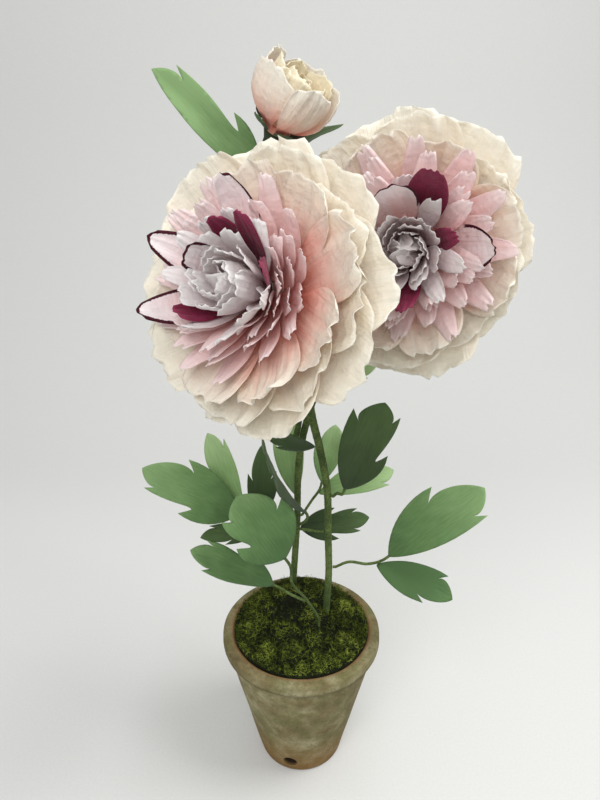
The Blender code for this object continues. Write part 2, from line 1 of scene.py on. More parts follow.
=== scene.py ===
# Crepe paper peony in a clay pot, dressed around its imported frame.
# Metres, +Z up. The origin is the centre of the pot's underside, and the viewer stands at -Y.
import bmesh
import bpy
import math
import random
from mathutils import Matrix, Vector, geometry, noise


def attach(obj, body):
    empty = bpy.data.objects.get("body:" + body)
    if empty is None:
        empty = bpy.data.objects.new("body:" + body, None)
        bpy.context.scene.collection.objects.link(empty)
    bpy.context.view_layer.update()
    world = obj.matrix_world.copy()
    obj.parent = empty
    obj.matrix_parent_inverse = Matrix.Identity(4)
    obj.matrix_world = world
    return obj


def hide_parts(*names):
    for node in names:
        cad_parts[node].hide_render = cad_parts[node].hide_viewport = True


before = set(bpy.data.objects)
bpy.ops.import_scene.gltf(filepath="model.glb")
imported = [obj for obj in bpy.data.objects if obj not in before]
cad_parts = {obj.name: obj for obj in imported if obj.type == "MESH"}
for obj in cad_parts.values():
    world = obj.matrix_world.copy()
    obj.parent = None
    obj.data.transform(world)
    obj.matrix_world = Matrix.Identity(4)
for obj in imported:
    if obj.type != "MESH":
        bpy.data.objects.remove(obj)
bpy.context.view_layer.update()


# The pot is a long tom of red clay, thrown on a wheel and fired, then left outdoors: lime bloom and
# green algae cover the clay, and it shows warm only low down and inside the rim. It carries the rest.
POT_HEIGHT = 0.1735
POT_FOOT_R = 0.0493
POT_BODY_R = 0.0855
POT_RIM_R = 0.090
POT_RIM_DROP = 0.0146
POT_MOUTH_R = 0.0787
POT_WALL = 0.0095
POT_FLOOR = 0.0095
POT_INNER_TOP_Z = 0.150
DRAIN_R = 0.008
DRAIN_Z = 0.0180
DRAIN_TURN = math.radians(14.0)
POT_SLOPE = (POT_BODY_R - POT_FOOT_R) / (POT_HEIGHT - POT_RIM_DROP)


def linear(code):
    """An sRGB hex colour as a linear one."""
    parts = [int(code[i:i + 2], 16) / 255 for i in (1, 3, 5)]
    return (*[c / 12.92 if c <= 0.04045 else ((c + 0.055) / 1.055) ** 2.4 for c in parts], 1.0)


def finish(name):
    """An empty material."""
    mat = bpy.data.materials.new(name)
    mat.use_nodes = True
    mat.node_tree.nodes.clear()
    return mat


def add(mat, kind, into=None, stops=(), **settings):
    """One node with its settings, the stops of its ramp, and what goes into its sockets."""
    new = mat.node_tree.nodes.new(kind)
    for key, value in settings.items():
        setattr(new, key, value)
    if stops:
        steps = new.color_ramp.elements
        while len(steps) < len(stops):
            steps.new(1.0)
        for step, (spot, colour) in zip(steps, stops):
            step.position = spot
            step.color = linear(colour) if isinstance(colour, str) else (colour, colour, colour, 1.0)
    for key, value in (into or {}).items():
        if isinstance(value, bpy.types.NodeSocket):
            mat.node_tree.links.new(value, new.inputs[key])
        else:
            new.inputs[key].default_value = linear(value) if isinstance(value, str) else value
    return new


def scaled(mat, value, by, plus=None):
    """A value times another one, with a third added where it is given."""
    if plus is None:
        return add(mat, "ShaderNodeMath", {0: value, 1: by}, operation="MULTIPLY").outputs[0]
    return add(mat, "ShaderNodeMath", {0: value, 1: by, 2: plus}, operation="MULTIPLY_ADD").outputs[0]


def ranged(mat, value, start, stop, low=0.0, high=1.0):
    """A value between start and stop brought to the range from low to high, and held there."""
    return add(mat, "ShaderNodeMapRange", {"Value": value, "From Min": start, "From Max": stop,
                                           "To Min": low, "To Max": high}).outputs[0]


def ramp(mat, value, stops):
    """A value turned into the colours or greys of its stops."""
    return add(mat, "ShaderNodeValToRGB", {0: value}, stops=stops).outputs[0]


def over(mat, share, under, top):
    """One colour laid over another by a share."""
    return add(mat, "ShaderNodeMix", {0: share, 6: under, 7: top}, data_type="RGBA").outputs[2]


def grained(mat, where, scale, detail, **more):
    """Cloudy grain, with finer grain in it the more detail it has."""
    return add(mat, "ShaderNodeTexNoise", {"Vector": where, "Scale": scale, "Detail": detail,
                                           **more}).outputs[0]


def pressed(mat, height, strength, depth):
    """Fine relief, depth metres deep."""
    return add(mat, "ShaderNodeBump", {"Height": height, "Strength": strength, "Distance": depth}).outputs[0]


def surfaced(mat, shader):
    """The finished material."""
    add(mat, "ShaderNodeOutputMaterial", {"Surface": shader.outputs[0]})
    return mat


def per_metre(mm):
    """Texture scale for a pattern whose features are so many millimetres apart."""
    return 1000.0 / mm


def piece(name, verts, faces, mat, slot, *nodes):
    """A mesh that rides on the plant and stands for nodes of the frame."""
    mesh = bpy.data.meshes.new(name)
    mesh.from_pydata([tuple(v) for v in verts], [], faces)
    mesh.polygons.foreach_set("use_smooth", [True] * len(mesh.polygons))
    mesh.materials.append(mat)
    obj = bpy.data.objects.new(name, mesh)
    bpy.context.scene.collection.objects.link(obj)
    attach(obj, "root")
    if nodes:
        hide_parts(*nodes)
    return obj


def rounded(points, radius, bits=4):
    """A profile with its corners eased, each one over no more than a third of its shorter leg."""
    line = [Vector(points[0])]
    for a, b, c in zip(points, points[1:], points[2:]):
        a, b, c = Vector(a), Vector(b), Vector(c)
        ease = min(radius, (a - b).length / 3, (c - b).length / 3)
        first = b + (a - b).normalized() * ease
        last = b + (c - b).normalized() * ease
        for k in range(bits + 1):
            t = k / bits
            line.append(first * (1 - t) ** 2 + b * (2 * t * (1 - t)) + last * t * t)
    return line + [Vector(points[-1])]


def even(line, step):
    """The same line with its long legs split up."""
    out = [line[0]]
    for a, b in zip(line, line[1:]):
        bits = max(1, math.ceil((b - a).length / step))
        out += [a.lerp(b, (k + 1) / bits) for k in range(bits)]
    return out


def turned(profile, count, rough=0.0):
    """Points and faces of a turned body; its profile starts and ends on the axis."""
    verts = [Vector((0, 0, profile[0][1]))]
    for r, z in profile[1:-1]:
        for i in range(count):
            turn = math.tau * i / count
            spot = Vector((r * math.cos(turn), r * math.sin(turn), z))
            swell = 1 + rough * noise.noise(spot * 22) / max(r, 0.01)
            verts.append(Vector((spot.x * swell, spot.y * swell, z)))
    verts.append(Vector((0, 0, profile[-1][1])))
    last = len(verts) - 1
    faces = [(0, 1 + i, 1 + (i + 1) % count) for i in range(count)]
    for ring in range(len(profile) - 3):
        low = 1 + ring * count
        for i in range(count):
            j = (i + 1) % count
            faces.append((low + i, low + count + i, low + count + j, low + j))
    low = last - count
    faces += [(low + (i + 1) % count, low + i, last) for i in range(count)]
    return verts, faces


def fired_clay():
    """Clay fired at a low heat and weathered: dull and open, so it has no gloss and shows every stain."""
    mat = finish("weathered_fired_clay")
    spot = add(mat, "ShaderNodeTexCoord").outputs["Object"]
    axes = add(mat, "ShaderNodeSeparateXYZ", {0: spot})
    around = add(mat, "ShaderNodeCombineXYZ", {"X": axes.outputs["X"], "Y": axes.outputs["Y"]})
    radius = add(mat, "ShaderNodeVectorMath", {0: around.outputs[0]}, operation="LENGTH").outputs["Value"]
    # Lime bloom lies in clouds some 38 mm wide, algae in patches of 26 mm, soil specks of 2.5 mm
    clouds = grained(mat, spot, per_metre(38), 8.0, Roughness=0.68, Distortion=0.1)
    patches = grained(mat, spot, per_metre(26), 8.0, Roughness=0.75, Distortion=0.2)
    specks = grained(mat, spot, per_metre(2.5), 3.0, Roughness=0.6)
    clay = ramp(mat, clouds, [(0.34, "#5C5136"), (0.45, "#736847"), (0.55, "#867E5D"), (0.68, "#A19B7D")])
    algae = ramp(mat, patches, [(0.47, 0.0), (0.62, 0.70)])
    green = over(mat, algae, clay, "#5F6138")
    low = ranged(mat, axes.outputs["Z"], 0.066, 0.006, 0.0, 0.85)
    low_mottled = scaled(mat, low, patches)
    warm_low = add(mat, "ShaderNodeMath", {0: low_mottled, 1: 1.7}, operation="MULTIPLY",
                   use_clamp=True).outputs[0]
    damp = over(mat, warm_low, green, "#7B5729")
    inside = ranged(mat, radius, 0.0835, 0.0775, 0.0, 0.8)
    above = ranged(mat, axes.outputs["Z"], 0.160, 0.168)
    lip = scaled(mat, inside, above)
    warm_lip = over(mat, lip, damp, "#8E6742")
    dark = ramp(mat, specks, [(0.58, 0.0), (0.68, 0.95)])
    dirt = scaled(mat, dark, patches)
    soiled = over(mat, dirt, warm_lip, "#37331D")
    # A painted shadow lies in the corner under the rim, and painted shade darkens the wall a little way into
    # the drain hole
    under = ramp(mat, axes.outputs["Z"], [(0.1480, 0.0), (0.1560, 0.45), (0.1592, 0.95), (0.1612, 0.0)])
    taper = scaled(mat, axes.outputs["Z"], -POT_SLOPE, radius)
    shell = ranged(mat, taper, POT_FOOT_R - 0.004, POT_FOOT_R - 0.0015)
    high = ranged(mat, axes.outputs["Z"], 0.120, 0.125)
    outer = add(mat, "ShaderNodeMath", {0: shell, 1: high}, operation="MAXIMUM").outputs[0]
    rim_shadow_mask = scaled(mat, under, outer)
    rim_shadowed = over(mat, rim_shadow_mask, soiled, "#2E2A18")
    # Painted shade: away from the outer wall and below the top of the inside, the clay is dark
    colour = over(mat, outer, "#33261A", rim_shadowed)
    # Throwing rings stand about 4 mm apart, and the grog in the clay is about 1 mm
    rings = add(mat, "ShaderNodeTexWave", {"Vector": spot, "Scale": per_metre(4) / 20, "Distortion": 1.5,
                                           "Detail": 2.0}, bands_direction="Z").outputs["Fac"]
    grog = grained(mat, spot, per_metre(1.4), 4.0)
    wear = scaled(mat, rings, 0.25, grog)
    height = scaled(mat, clouds, 0.8, wear)
    bump = pressed(mat, height, 0.45, 0.0009)
    rough = ranged(mat, clouds, 0.0, 1.0, 0.78, 0.96)
    shader = add(mat, "ShaderNodeBsdfPrincipled", {"Base Color": colour, "Roughness": rough, "Normal": bump,
                                                   "IOR": 1.45, "Specular IOR Level": 0.3})
    return surfaced(mat, shader)


def pot_inner_r(z):
    """Radius of the pot's inner wall at a height."""
    foot = POT_FOOT_R - POT_WALL
    top = POT_BODY_R - POT_WALL
    return foot + (top - foot) * (z - POT_FLOOR) / (POT_INNER_TOP_Z - POT_FLOOR)


rim_under_z = POT_HEIGHT - POT_RIM_DROP
pot_line = rounded([
    (0.0, POT_FLOOR), (pot_inner_r(POT_FLOOR), POT_FLOOR), (pot_inner_r(POT_INNER_TOP_Z), POT_INNER_TOP_Z),
    (POT_MOUTH_R - 0.0055, POT_HEIGHT - 0.0085), (POT_MOUTH_R, POT_HEIGHT), (POT_RIM_R, POT_HEIGHT),
    (POT_RIM_R + 0.0006, rim_under_z + 0.004), (POT_RIM_R - 0.0004, rim_under_z),
    (POT_BODY_R - 0.0012, rim_under_z - 0.0008), (POT_BODY_R - 0.0026, rim_under_z - 0.012),
    (POT_FOOT_R, 0.0), (0.0, 0.0)], 0.0032)
pot = piece("clay_pot", *turned(even(pot_line, 0.004), 128, 0.0005), fired_clay(), "terracotta",
            "terracotta_pot")
drain_way = Vector((-math.sin(DRAIN_TURN), -math.cos(DRAIN_TURN), 0.0))
bm = bmesh.new()
bmesh.ops.create_cone(bm, cap_ends=True, segments=40, radius1=DRAIN_R, radius2=DRAIN_R, depth=0.030,
                      matrix=Matrix.Translation(drain_way * (POT_FOOT_R - POT_WALL * 0.5)
                                                + Vector((0, 0, DRAIN_Z)))
                      @ drain_way.to_track_quat("Z", "Y").to_matrix().to_4x4())
drill_mesh = bpy.data.meshes.new("drill")
bm.to_mesh(drill_mesh)
bm.free()
drill = bpy.data.objects.new("drill", drill_mesh)
bpy.context.scene.collection.objects.link(drill)
bore = pot.modifiers.new("drain", "BOOLEAN")
bore.operation = "DIFFERENCE"
bore.solver = "EXACT"
bore.object = drill
bored = bpy.data.meshes.new_from_object(pot.evaluated_get(bpy.context.evaluated_depsgraph_get()))
pot.modifiers.clear()
pot.data = bored
bpy.data.objects.remove(drill, do_unlink=True)


# The foam block is dense green florist foam, cut to the pot's taper and wedged in. The moss hides it, and
# it keeps its plain form: only its finish is set here.
def florist_foam():
    """Foamed resin: open cells under a millimetre wide, dull and dusty."""
    mat = finish("open_cell_foam")
    spot = add(mat, "ShaderNodeTexCoord").outputs["Object"]
    cells = add(mat, "ShaderNodeTexVoronoi", {"Vector": spot, "Scale": per_metre(0.8)}).outputs["Distance"]
    colour = ramp(mat, cells, [(0.1, "#2F4A27"), (0.8, "#55733F")])
    bump = pressed(mat, cells, 0.5, 0.0004)
    shader = add(mat, "ShaderNodeBsdfPrincipled", {"Base Color": colour, "Roughness": 0.95, "Normal": bump})
    return surfaced(mat, shader)


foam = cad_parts["foam_block"]
foam.data.materials.clear()
foam.data.materials.append(florist_foam())


# The moss is dried sheet moss laid over the foam: a dark cushion of soil and old growth, with curled
# yellow-green threads all over it, darkened by painted shade in the gaps between clumps. It fills the rim and
# humps up behind the stems.
MOSS_RISE = 0.016
MOSS_HUMP = 0.022
THREADS = 3800
THREAD_R = 0.00042
# The clearance where one piece stands, lies or is glued against another
GAP = 0.0003


def moss_clump(x, y):
    """How far a place is up one of the moss's clumps, which are about 30 mm wide: 0 in a gap, 1 on top."""
    bent = 0.25 * noise.noise(Vector((x * 90, y * 90, 2.0)))
    near = noise.voronoi(Vector((x * 34 + bent, y * 34 - bent, 0.7)))[0]
    return math.sqrt(min(1.0, (near[1] - near[0]) * 3.2))


def moss_height(x, y):
    """Height of the cushion."""
    share = min(1.0, math.hypot(x, y) / POT_MOUTH_R)
    hump = MOSS_HUMP * math.exp(-((x + 0.004) ** 2 + (y - 0.040) ** 2) / (2 * 0.034 ** 2))
    lump = 0.0085 * (moss_clump(x, y) - 0.85)
    tuft = 0.0024 * noise.noise(Vector((x * 120, y * 120, 0.3)))
    tuft += 0.0016 * noise.noise(Vector((x * 330, y * 330, 5.0)))
    fall = 1 - share ** 4
    return POT_HEIGHT + MOSS_RISE * 0.6 * math.sqrt(1 - share * share) + (hump + lump + tuft) * fall


def dried_moss(name, stops):
    """Dried moss: dull, with a patchy green from old to fresh growth, and painted shade that darkens it low
    in the gaps between clumps.
    """
    mat = finish(name)
    spot = add(mat, "ShaderNodeTexCoord").outputs["Object"]
    patch = grained(mat, spot, per_metre(22), 2.0)
    thread = grained(mat, spot, per_metre(3.5), 2.0)
    # Painted shade: the lower a place stands in the gaps between clumps, the darker its colour
    up = add(mat, "ShaderNodeAttribute", attribute_name="clump_shade").outputs["Fac"]
    blend = scaled(mat, patch, 0.70, thread)
    blend = scaled(mat, up, 0.38, blend)
    blend = scaled(mat, blend, 0.68)
    colour = ramp(mat, blend, stops)
    bump = pressed(mat, thread, 0.6, 0.0010)
    shader = add(mat, "ShaderNodeBsdfPrincipled", {"Base Color": colour, "Roughness": 0.92, "Normal": bump,
                                                   "Specular IOR Level": 0.2})
    return surfaced(mat, shader)


def moss_cushion():
    """Rings of points: the seat on the foam, the mouth of the pot, then the lumpy top."""
    count = 120
    seat_z = POT_INNER_TOP_Z + GAP
    seat = [(0.030, seat_z), (pot_inner_r(POT_INNER_TOP_Z) - 0.0008, seat_z),
            (POT_MOUTH_R - 0.0068, POT_HEIGHT - 0.0085), (POT_MOUTH_R - 0.0016, POT_HEIGHT - 0.0030)]
    verts = [(0.0, 0.0, seat_z)]
    for radius, z in seat:
        verts += [(radius * math.cos(math.tau * i / count), radius * math.sin(math.tau * i / count), z)
                  for i in range(count)]
    rings = [0.975 - 0.95 * k / 30 for k in range(31)]
    for share in rings:
        for i in range(count):
            x = POT_MOUTH_R * share * math.cos(math.tau * i / count)
            y = POT_MOUTH_R * share * math.sin(math.tau * i / count)
            verts.append((x, y, moss_height(x, y)))
    verts.append((0.0, 0.0, moss_height(0.0, 0.0)))
    faces = [(0, 1 + (i + 1) % count, 1 + i) for i in range(count)]
    for ring in range(len(seat) + len(rings) - 1):
        low = 1 + ring * count
        for i in range(count):
            j = (i + 1) % count
            faces.append((low + i, low + j, low + count + j, low + count + i))
    last = len(verts) - 1
    faces += [(last - count + i, last - count + (i + 1) % count, last) for i in range(count)]
    return verts, faces


def moss_threads(count, seed, length):
    """Curled threads: three-sided, tapering, each one rooted in the cushion."""
    rng = random.Random(seed)
    verts = []
    faces = []
    for _ in range(count):
        out = (POT_MOUTH_R - 0.0018) * rng.random() ** 0.42
        turn = rng.uniform(0, math.tau)
        x, y = out * math.cos(turn), out * math.sin(turn)
        spot = Vector((x, y, moss_height(x, y) - 0.0008))
        way = Vector((rng.uniform(-1, 1), rng.uniform(-1, 1), rng.uniform(0.5, 1.3))).normalized()
        curl = Vector((rng.uniform(-1, 1), rng.uniform(-1, 1), rng.uniform(-0.6, 0.3))).normalized()
        long = rng.uniform(0.6, 1.3) * length
        bits = 6
        first = len(verts)
        for k in range(bits + 1):
            side = way.orthogonal().normalized()
            other = way.cross(side)
            thick = THREAD_R * (1 - 0.75 * k / bits)
            verts += [spot + (side * math.cos(a) + other * math.sin(a)) * thick
                      for a in (0.0, math.tau / 3, math.tau * 2 / 3)]
            spot = spot + way * long / bits
            way = (way + curl * 0.55 + Vector((0, 0, -0.10))).normalized()
            curl = (curl + way.cross(curl) * 0.5).normalized()
        for k in range(bits):
            a = first + 3 * k
            for i in range(3):
                j = (i + 1) % 3
                faces.append((a + i, a + j, a + 3 + j, a + 3 + i))
        faces.append((first + 2, first + 1, first))
        top = first + 3 * bits
        faces.append((top, top + 1, top + 2))
    inside = POT_MOUTH_R - 0.0012
    held = []
    for v in verts:
        flat = math.hypot(v.x, v.y)
        pull = min(1.0, inside / flat) if flat else 1.0
        held.append(Vector((v.x * pull, v.y * pull, v.z)))
    return held, faces


def spread(mesh, name, kind, values):
    """Keep one value for each point of a mesh under a name that materials read."""
    layer = mesh.attributes.new(name, kind, "POINT")
    if kind == "FLOAT_VECTOR":
        layer.data.foreach_set("vector", [x for value in values for x in value])
    else:
        layer.data.foreach_set("value", values)


def laid(name, verts, faces, mat, *nodes):
    """Moss that knows how high up the clumps each point stands, which its material turns into painted shade
    in the gaps.
    """
    obj = piece(name, verts, faces, mat, "dried_moss", *nodes)
    spread(obj.data, "clump_shade", "FLOAT", [moss_clump(v[0], v[1]) for v in verts])


laid("moss_cushion", *moss_cushion(),
     dried_moss("dried_moss_cushion", [(0.78, "#0F1206"), (0.96, "#20270B")]), "moss_mound")
laid("moss_threads_old", *moss_threads(THREADS, 3, 0.0085),
     dried_moss("dried_moss_old", [(0.60, "#171B09"), (0.79, "#3A4411"), (0.98, "#606C22")]))
laid("moss_threads_fresh", *moss_threads(THREADS, 8, 0.0075),
     dried_moss("dried_moss_fresh", [(0.58, "#20270B"), (0.77, "#59691D"), (0.97, "#98A445")]))


# The stems are steel wires padded out and wound with olive crepe tape, pushed down into the foam. The
# bud's stem is taped along the stem of the back bloom, and thin wound wires carry the leaves.
STEM_R = 0.0040
BUD_STEM_R = 0.0034
WIRE_R = 0.0016
TAPE = 0.0003
TAPE_WIDTH = 0.0085
SOCKET_DEPTH = 0.080
CORE_DROP = 0.0055
# Each head: where it stands, how far it turns to the viewer's left and how far it looks up
FRONT_HEAD = ((-0.017, -0.100, 0.578), 35.0, 20.0)
BACK_HEAD = ((0.105, 0.015, 0.599), 18.0, 6.0)
BUD_HEAD = ((-0.0234, 0.050, 0.704), -55.0, 52.0)
BACK_SCALE = 1.09
BUD_SCALE = 0.80
FRONT_STEM = ((0.0285, 0.008, 0.150), (0.029, 0.008, 0.185), (0.031, 0.005, 0.247), (0.029, 0.0, 0.299),
              (0.0267, -0.005, 0.359), (0.0187, -0.010, 0.405), (0.010, -0.024, 0.447),
              (0.004, -0.046, 0.500), (0.003, -0.072, 0.548))
BACK_STEM = ((-0.011, 0.042, 0.150), (-0.010, 0.043, 0.185), (-0.005, 0.045, 0.280), (0.001, 0.042, 0.391),
             (0.012, 0.050, 0.432), (0.042, 0.066, 0.505), (0.084, 0.074, 0.568), (0.113, 0.056, 0.593))
BUD_STEM = ((-0.012, 0.056, 0.480), (-0.018, 0.066, 0.560), (-0.034, 0.066, 0.640), (-0.0365, 0.060, 0.680))
BUD_TAPED_Z = (0.388, 0.408)
LEAF_ENDS = {
    "big_front": ((-0.0165, -0.0445, 0.2985), (-0.0640, -0.034, 0.3660)),
    "low_left": ((-0.0310, -0.010, 0.2385), (-0.1155, -0.030, 0.2985)),
    "far_left": ((-0.0680, 0.0, 0.3225), (-0.1595, -0.020, 0.389)),
    "edge_on": ((0.0040, -0.020, 0.3385), (-0.0365, -0.050, 0.438)),
    "rear_mid": ((0.0240, 0.060, 0.329), (0.040, 0.086, 0.390)),
    "upper_dark": ((0.0440, -0.020, 0.3650), (0.080, -0.022, 0.460)),
    "right_large": ((0.0950, -0.010, 0.2766), (0.184, -0.026, 0.370)),
}


def look(head):
    """The direction that a head looks in."""
    turn = math.radians(head[1])
    rise = math.radians(head[2])
    return Vector((-math.sin(turn) * math.cos(rise), -math.cos(turn) * math.cos(rise), math.sin(rise)))


def smooth_path(points, steps):
    """A rounded line through the points, with no overshoot where they stand close."""
    pts = [Vector(p) for p in points]
    legs = [(b - a).length for a, b in zip(pts, pts[1:])]
    ways = [(pts[1] - pts[0]).normalized()]
    for i in range(1, len(pts) - 1):
        before = (pts[i] - pts[i - 1]) / legs[i - 1]
        after = (pts[i + 1] - pts[i]) / legs[i]
        ways.append((before * legs[i] + after * legs[i - 1]).normalized())
    ways.append((pts[-1] - pts[-2]).normalized())
    line = []
    for i, leg in enumerate(legs):
        for k in range(steps):
            t = k / steps
            line.append(pts[i] * (1 - t) ** 2 * (1 + 2 * t) + pts[i + 1] * t * t * (3 - 2 * t)
                        + ways[i] * (leg * t * (1 - t) ** 2) - ways[i + 1] * (leg * t * t * (1 - t)))
    line.append(pts[-1])
    return line


def sunk(points, depth):
    """The straight lower end of a stem, down in the foam."""
    start = Vector(points[0])
    return [start + (start - Vector(points[1])).normalized() * depth]


def head_end(head, scale=1.0):
    """The last two places of a stem: it meets the head's underside along the way the head looks."""
    way = look(head)
    stop = Vector(head[0]) - way * (CORE_DROP * scale + GAP)
    return [stop - way * 0.014, stop]


def on_line(line, z):
    """Where a stem or wire passes a height, and the way it runs there."""
    for a, b in zip(line, line[1:]):
        if a.z <= z <= b.z:
            return a.lerp(b, (z - a.z) / (b.z - a.z)), (b - a).normalized()
    return line[-1], (line[-1] - line[-2]).normalized()


def along_line(line, share):
    """The place at a share of a wire's points, and the way it runs there."""
    i = min(int(share * (len(line) - 1)), len(line) - 2)
    return line[i].lerp(line[i + 1], share * (len(line) - 1) - i), (line[i + 1] - line[i]).normalized()


def beside(spot_way, toward, radius, half):
    """A place just clear of a stem or wire, square off its side that looks to another place."""
    spot, way = spot_way
    off = Vector(toward) - spot
    square = (off - way * off.dot(way)).normalized()
    tilt = math.sqrt(max(0.0, 1 - off.normalized().dot(square) ** 2))
    return spot + square * (radius + GAP + half * tilt)


def wound_crepe():
    """Crepe tape stretched and wound in a spiral: matt, with a darker line where each turn laps the last."""
    mat = finish("wound_crepe_tape")
    tape = add(mat, "ShaderNodeAttribute", attribute_name="tape")
    lap = tape.outputs["Fac"]
    grain = add(mat, "ShaderNodeAttribute", attribute_name="grain").outputs["Vector"]
    # The creases of stretched crepe, really 0.6 mm apart, are drawn 1.4 mm apart so that they show
    creases = grained(mat, grain, 1 / 1.4, 3.0)
    cloud = grained(mat, grain, 1 / 14, 2.0)
    tone = scaled(mat, cloud, 0.8, creases)
    plain = ramp(mat, tone, [(0.55, "#2C3A1B"), (0.90, "#445429"), (1.0, "#5D6D3A")])
    seam = ramp(mat, lap, [(0.0, 0.75), (0.12, 0.0)])
    colour = over(mat, seam, plain, "#27321A")
    bump = pressed(mat, creases, 0.6, 0.0004)
    shader = add(mat, "ShaderNodeBsdfPrincipled", {"Base Color": colour, "Roughness": 0.8, "Normal": bump,
                                                   "IOR": 1.45, "Specular IOR Level": 0.3})
    return surfaced(mat, shader)


STEM_CREPE = wound_crepe()


def wound(name, line, radius, count, node):
    """A wire wound with crepe tape: the surface steps down where each turn of tape ends."""
    line = even(line, 0.0012)
    pitch = TAPE_WIDTH if radius > 0.002 else TAPE_WIDTH * 0.6
    side = (line[1] - line[0]).orthogonal().normalized()
    verts, faces, lap, grain = [], [], [], []
    gone = 0.0
    for k, spot in enumerate(line):
        before, after = line[max(k - 1, 0)], line[min(k + 1, len(line) - 1)]
        way = (after - before).normalized()
        side = (side - way * side.dot(way)).normalized()
        other = way.cross(side)
        gone += (spot - line[k - 1]).length if k else 0.0
        for i in range(count):
            turn = math.tau * i / count
            share = (gone / pitch - turn / math.tau) % 1.0
            knot = 0.03 * radius * noise.noise(Vector((gone * 300, turn, radius)))
            r = radius * (0.955 + 0.05 * (1 - share)) + knot
            verts.append(spot + (side * math.cos(turn) + other * math.sin(turn)) * r)
            lap.append(share)
            grain.append((turn * radius * 1000, gone * 1000, radius * 9000))
    for k in range(len(line) - 1):
        for i in range(count):
            j = (i + 1) % count
            faces.append((k * count + i, k * count + j, (k + 1) * count + j, (k + 1) * count + i))
    faces.append(tuple(range(count - 1, -1, -1)))
    faces.append(tuple(range(len(verts) - count, len(verts))))
    obj = piece(name, verts, faces, STEM_CREPE, "stem_crepe", node)
    spread(obj.data, "tape", "FLOAT", lap)
    spread(obj.data, "grain", "FLOAT_VECTOR", grain)


PATHS = {
    "front": sunk(FRONT_STEM, SOCKET_DEPTH) + smooth_path(list(FRONT_STEM) + head_end(FRONT_HEAD), 8),
    "back": sunk(BACK_STEM, SOCKET_DEPTH) + smooth_path(list(BACK_STEM) + head_end(BACK_HEAD, BACK_SCALE), 8),
}
taped = [beside(on_line(PATHS["back"], z), BUD_STEM[0], STEM_R + BUD_STEM_R + TAPE, 0.0) for z in BUD_TAPED_Z]
PATHS["bud"] = smooth_path(taped + list(BUD_STEM) + head_end(BUD_HEAD, BUD_SCALE), 8)
for key, line in PATHS.items():
    wound("wound_stem_" + key, line, BUD_STEM_R if key == "bud" else STEM_R, 20, key + "_stem")


def wire_end(key):
    """The last two places of a wire: it runs into its leaf the way the leaf runs."""
    base, tip = (Vector(p) for p in LEAF_ENDS[key])
    way = (tip - base).normalized()
    return [base - way * 0.006, base - way * GAP]


def leaf_wire(key, leaf_key, start, radius, points):
    """A thin wound wire from square off a stem to the foot of its leaf; returns its centre line."""
    first = beside(start, points[0], radius, 0.0)
    second = first + (first - start[0]).normalized() * 0.003
    line = [first] + smooth_path([second] + [Vector(p) for p in points] + wire_end(leaf_key), 8)
    wound("wound_wire_" + key, line, WIRE_R, 10, "wire_" + key)
    return line


MOSS_WIRE_FOOT = Vector((0.020, -0.014, 0.158))
MOSS_WIRE_TOP = Vector((0.020, -0.014, 0.196))
moss_line = [MOSS_WIRE_FOOT] + smooth_path(
    [MOSS_WIRE_TOP, (0.006, -0.022, 0.228), (-0.010, -0.036, 0.262)] + wire_end("big_front"), 8)
wound("wound_wire_big_leaf", moss_line, WIRE_R, 10, "wire_big_leaf")
leaf_wire("low_left", "low_left", on_line(moss_line, 0.226), WIRE_R, [(-0.014, -0.016, 0.232)])
right_line = leaf_wire("right", "right_large", on_line(PATHS["front"], 0.252), STEM_R,
                       [(0.052, 0.002, 0.260), (0.074, -0.004, 0.262)])
left_line = leaf_wire("left", "far_left", on_line(PATHS["front"], 0.302), STEM_R,
                      [(0.0, -0.004, 0.307), (-0.030, -0.002, 0.312)])
leaf_wire("edge_leaf", "edge_on", along_line(left_line, 0.32), WIRE_R, [(0.004, -0.012, 0.322)])
rear_line = leaf_wire("rear", "rear_mid", on_line(PATHS["back"], 0.292), STEM_R, [(0.012, 0.056, 0.306)])
leaf_wire("upper_dark", "upper_dark", on_line(PATHS["front"], 0.350), STEM_R, [(0.037, -0.013, 0.356)])


# The leaves are cut from two layers of green crepe glued over a wire: lobes that end in a forward point,
# with a snipped notch behind each, and a soft crease down the middle from being pressed round the wire.
LEAF_THICK = 0.0006
LEAF_FOOT = 0.0012


def leaf_crepe(name, dark, mid, pale, through):
    """Double-layer crepe: matt, a fine grain along the leaf, and paler where light comes through."""
    mat = finish(name)
    grain = add(mat, "ShaderNodeAttribute", attribute_name="grain").outputs["Vector"]
    along = add(mat, "ShaderNodeAttribute", attribute_name="along").outputs["Fac"]
    # Crepe grain is about 0.7 mm wide and runs on for 12 mm or more; it is drawn 1.6 mm wide so that it shows
    drawn = add(mat, "ShaderNodeMapping", {"Vector": grain, "Scale": (1 / 14, 1 / 1.6, 1.0)}).outputs[0]
    fibres = grained(mat, drawn, 1.0, 3.0)
    cloud = grained(mat, grain, 1 / 26, 2.0)
    soft = scaled(mat, cloud, 0.22)
    tone = scaled(mat, along, 0.42, soft)
    tone = scaled(mat, fibres, 0.25, tone)
    colour = ramp(mat, tone, [(0.20, dark), (0.42, mid), (0.66, pale)])
    bump = pressed(mat, fibres, 0.35, 0.0005)
    front = add(mat, "ShaderNodeBsdfPrincipled", {"Base Color": colour, "Roughness": 0.72, "Normal": bump,
                                                  "IOR": 1.45, "Specular IOR Level": 0.35,
                                                  "Sheen Weight": 0.15, "Sheen Roughness": 0.5})
    lit = add(mat, "ShaderNodeBsdfTranslucent", {"Color": colour, "Normal": bump})
    shader = add(mat, "ShaderNodeMixShader", {0: through, 1: front.outputs[0], 2: lit.outputs[0]})
    return surfaced(mat, shader)


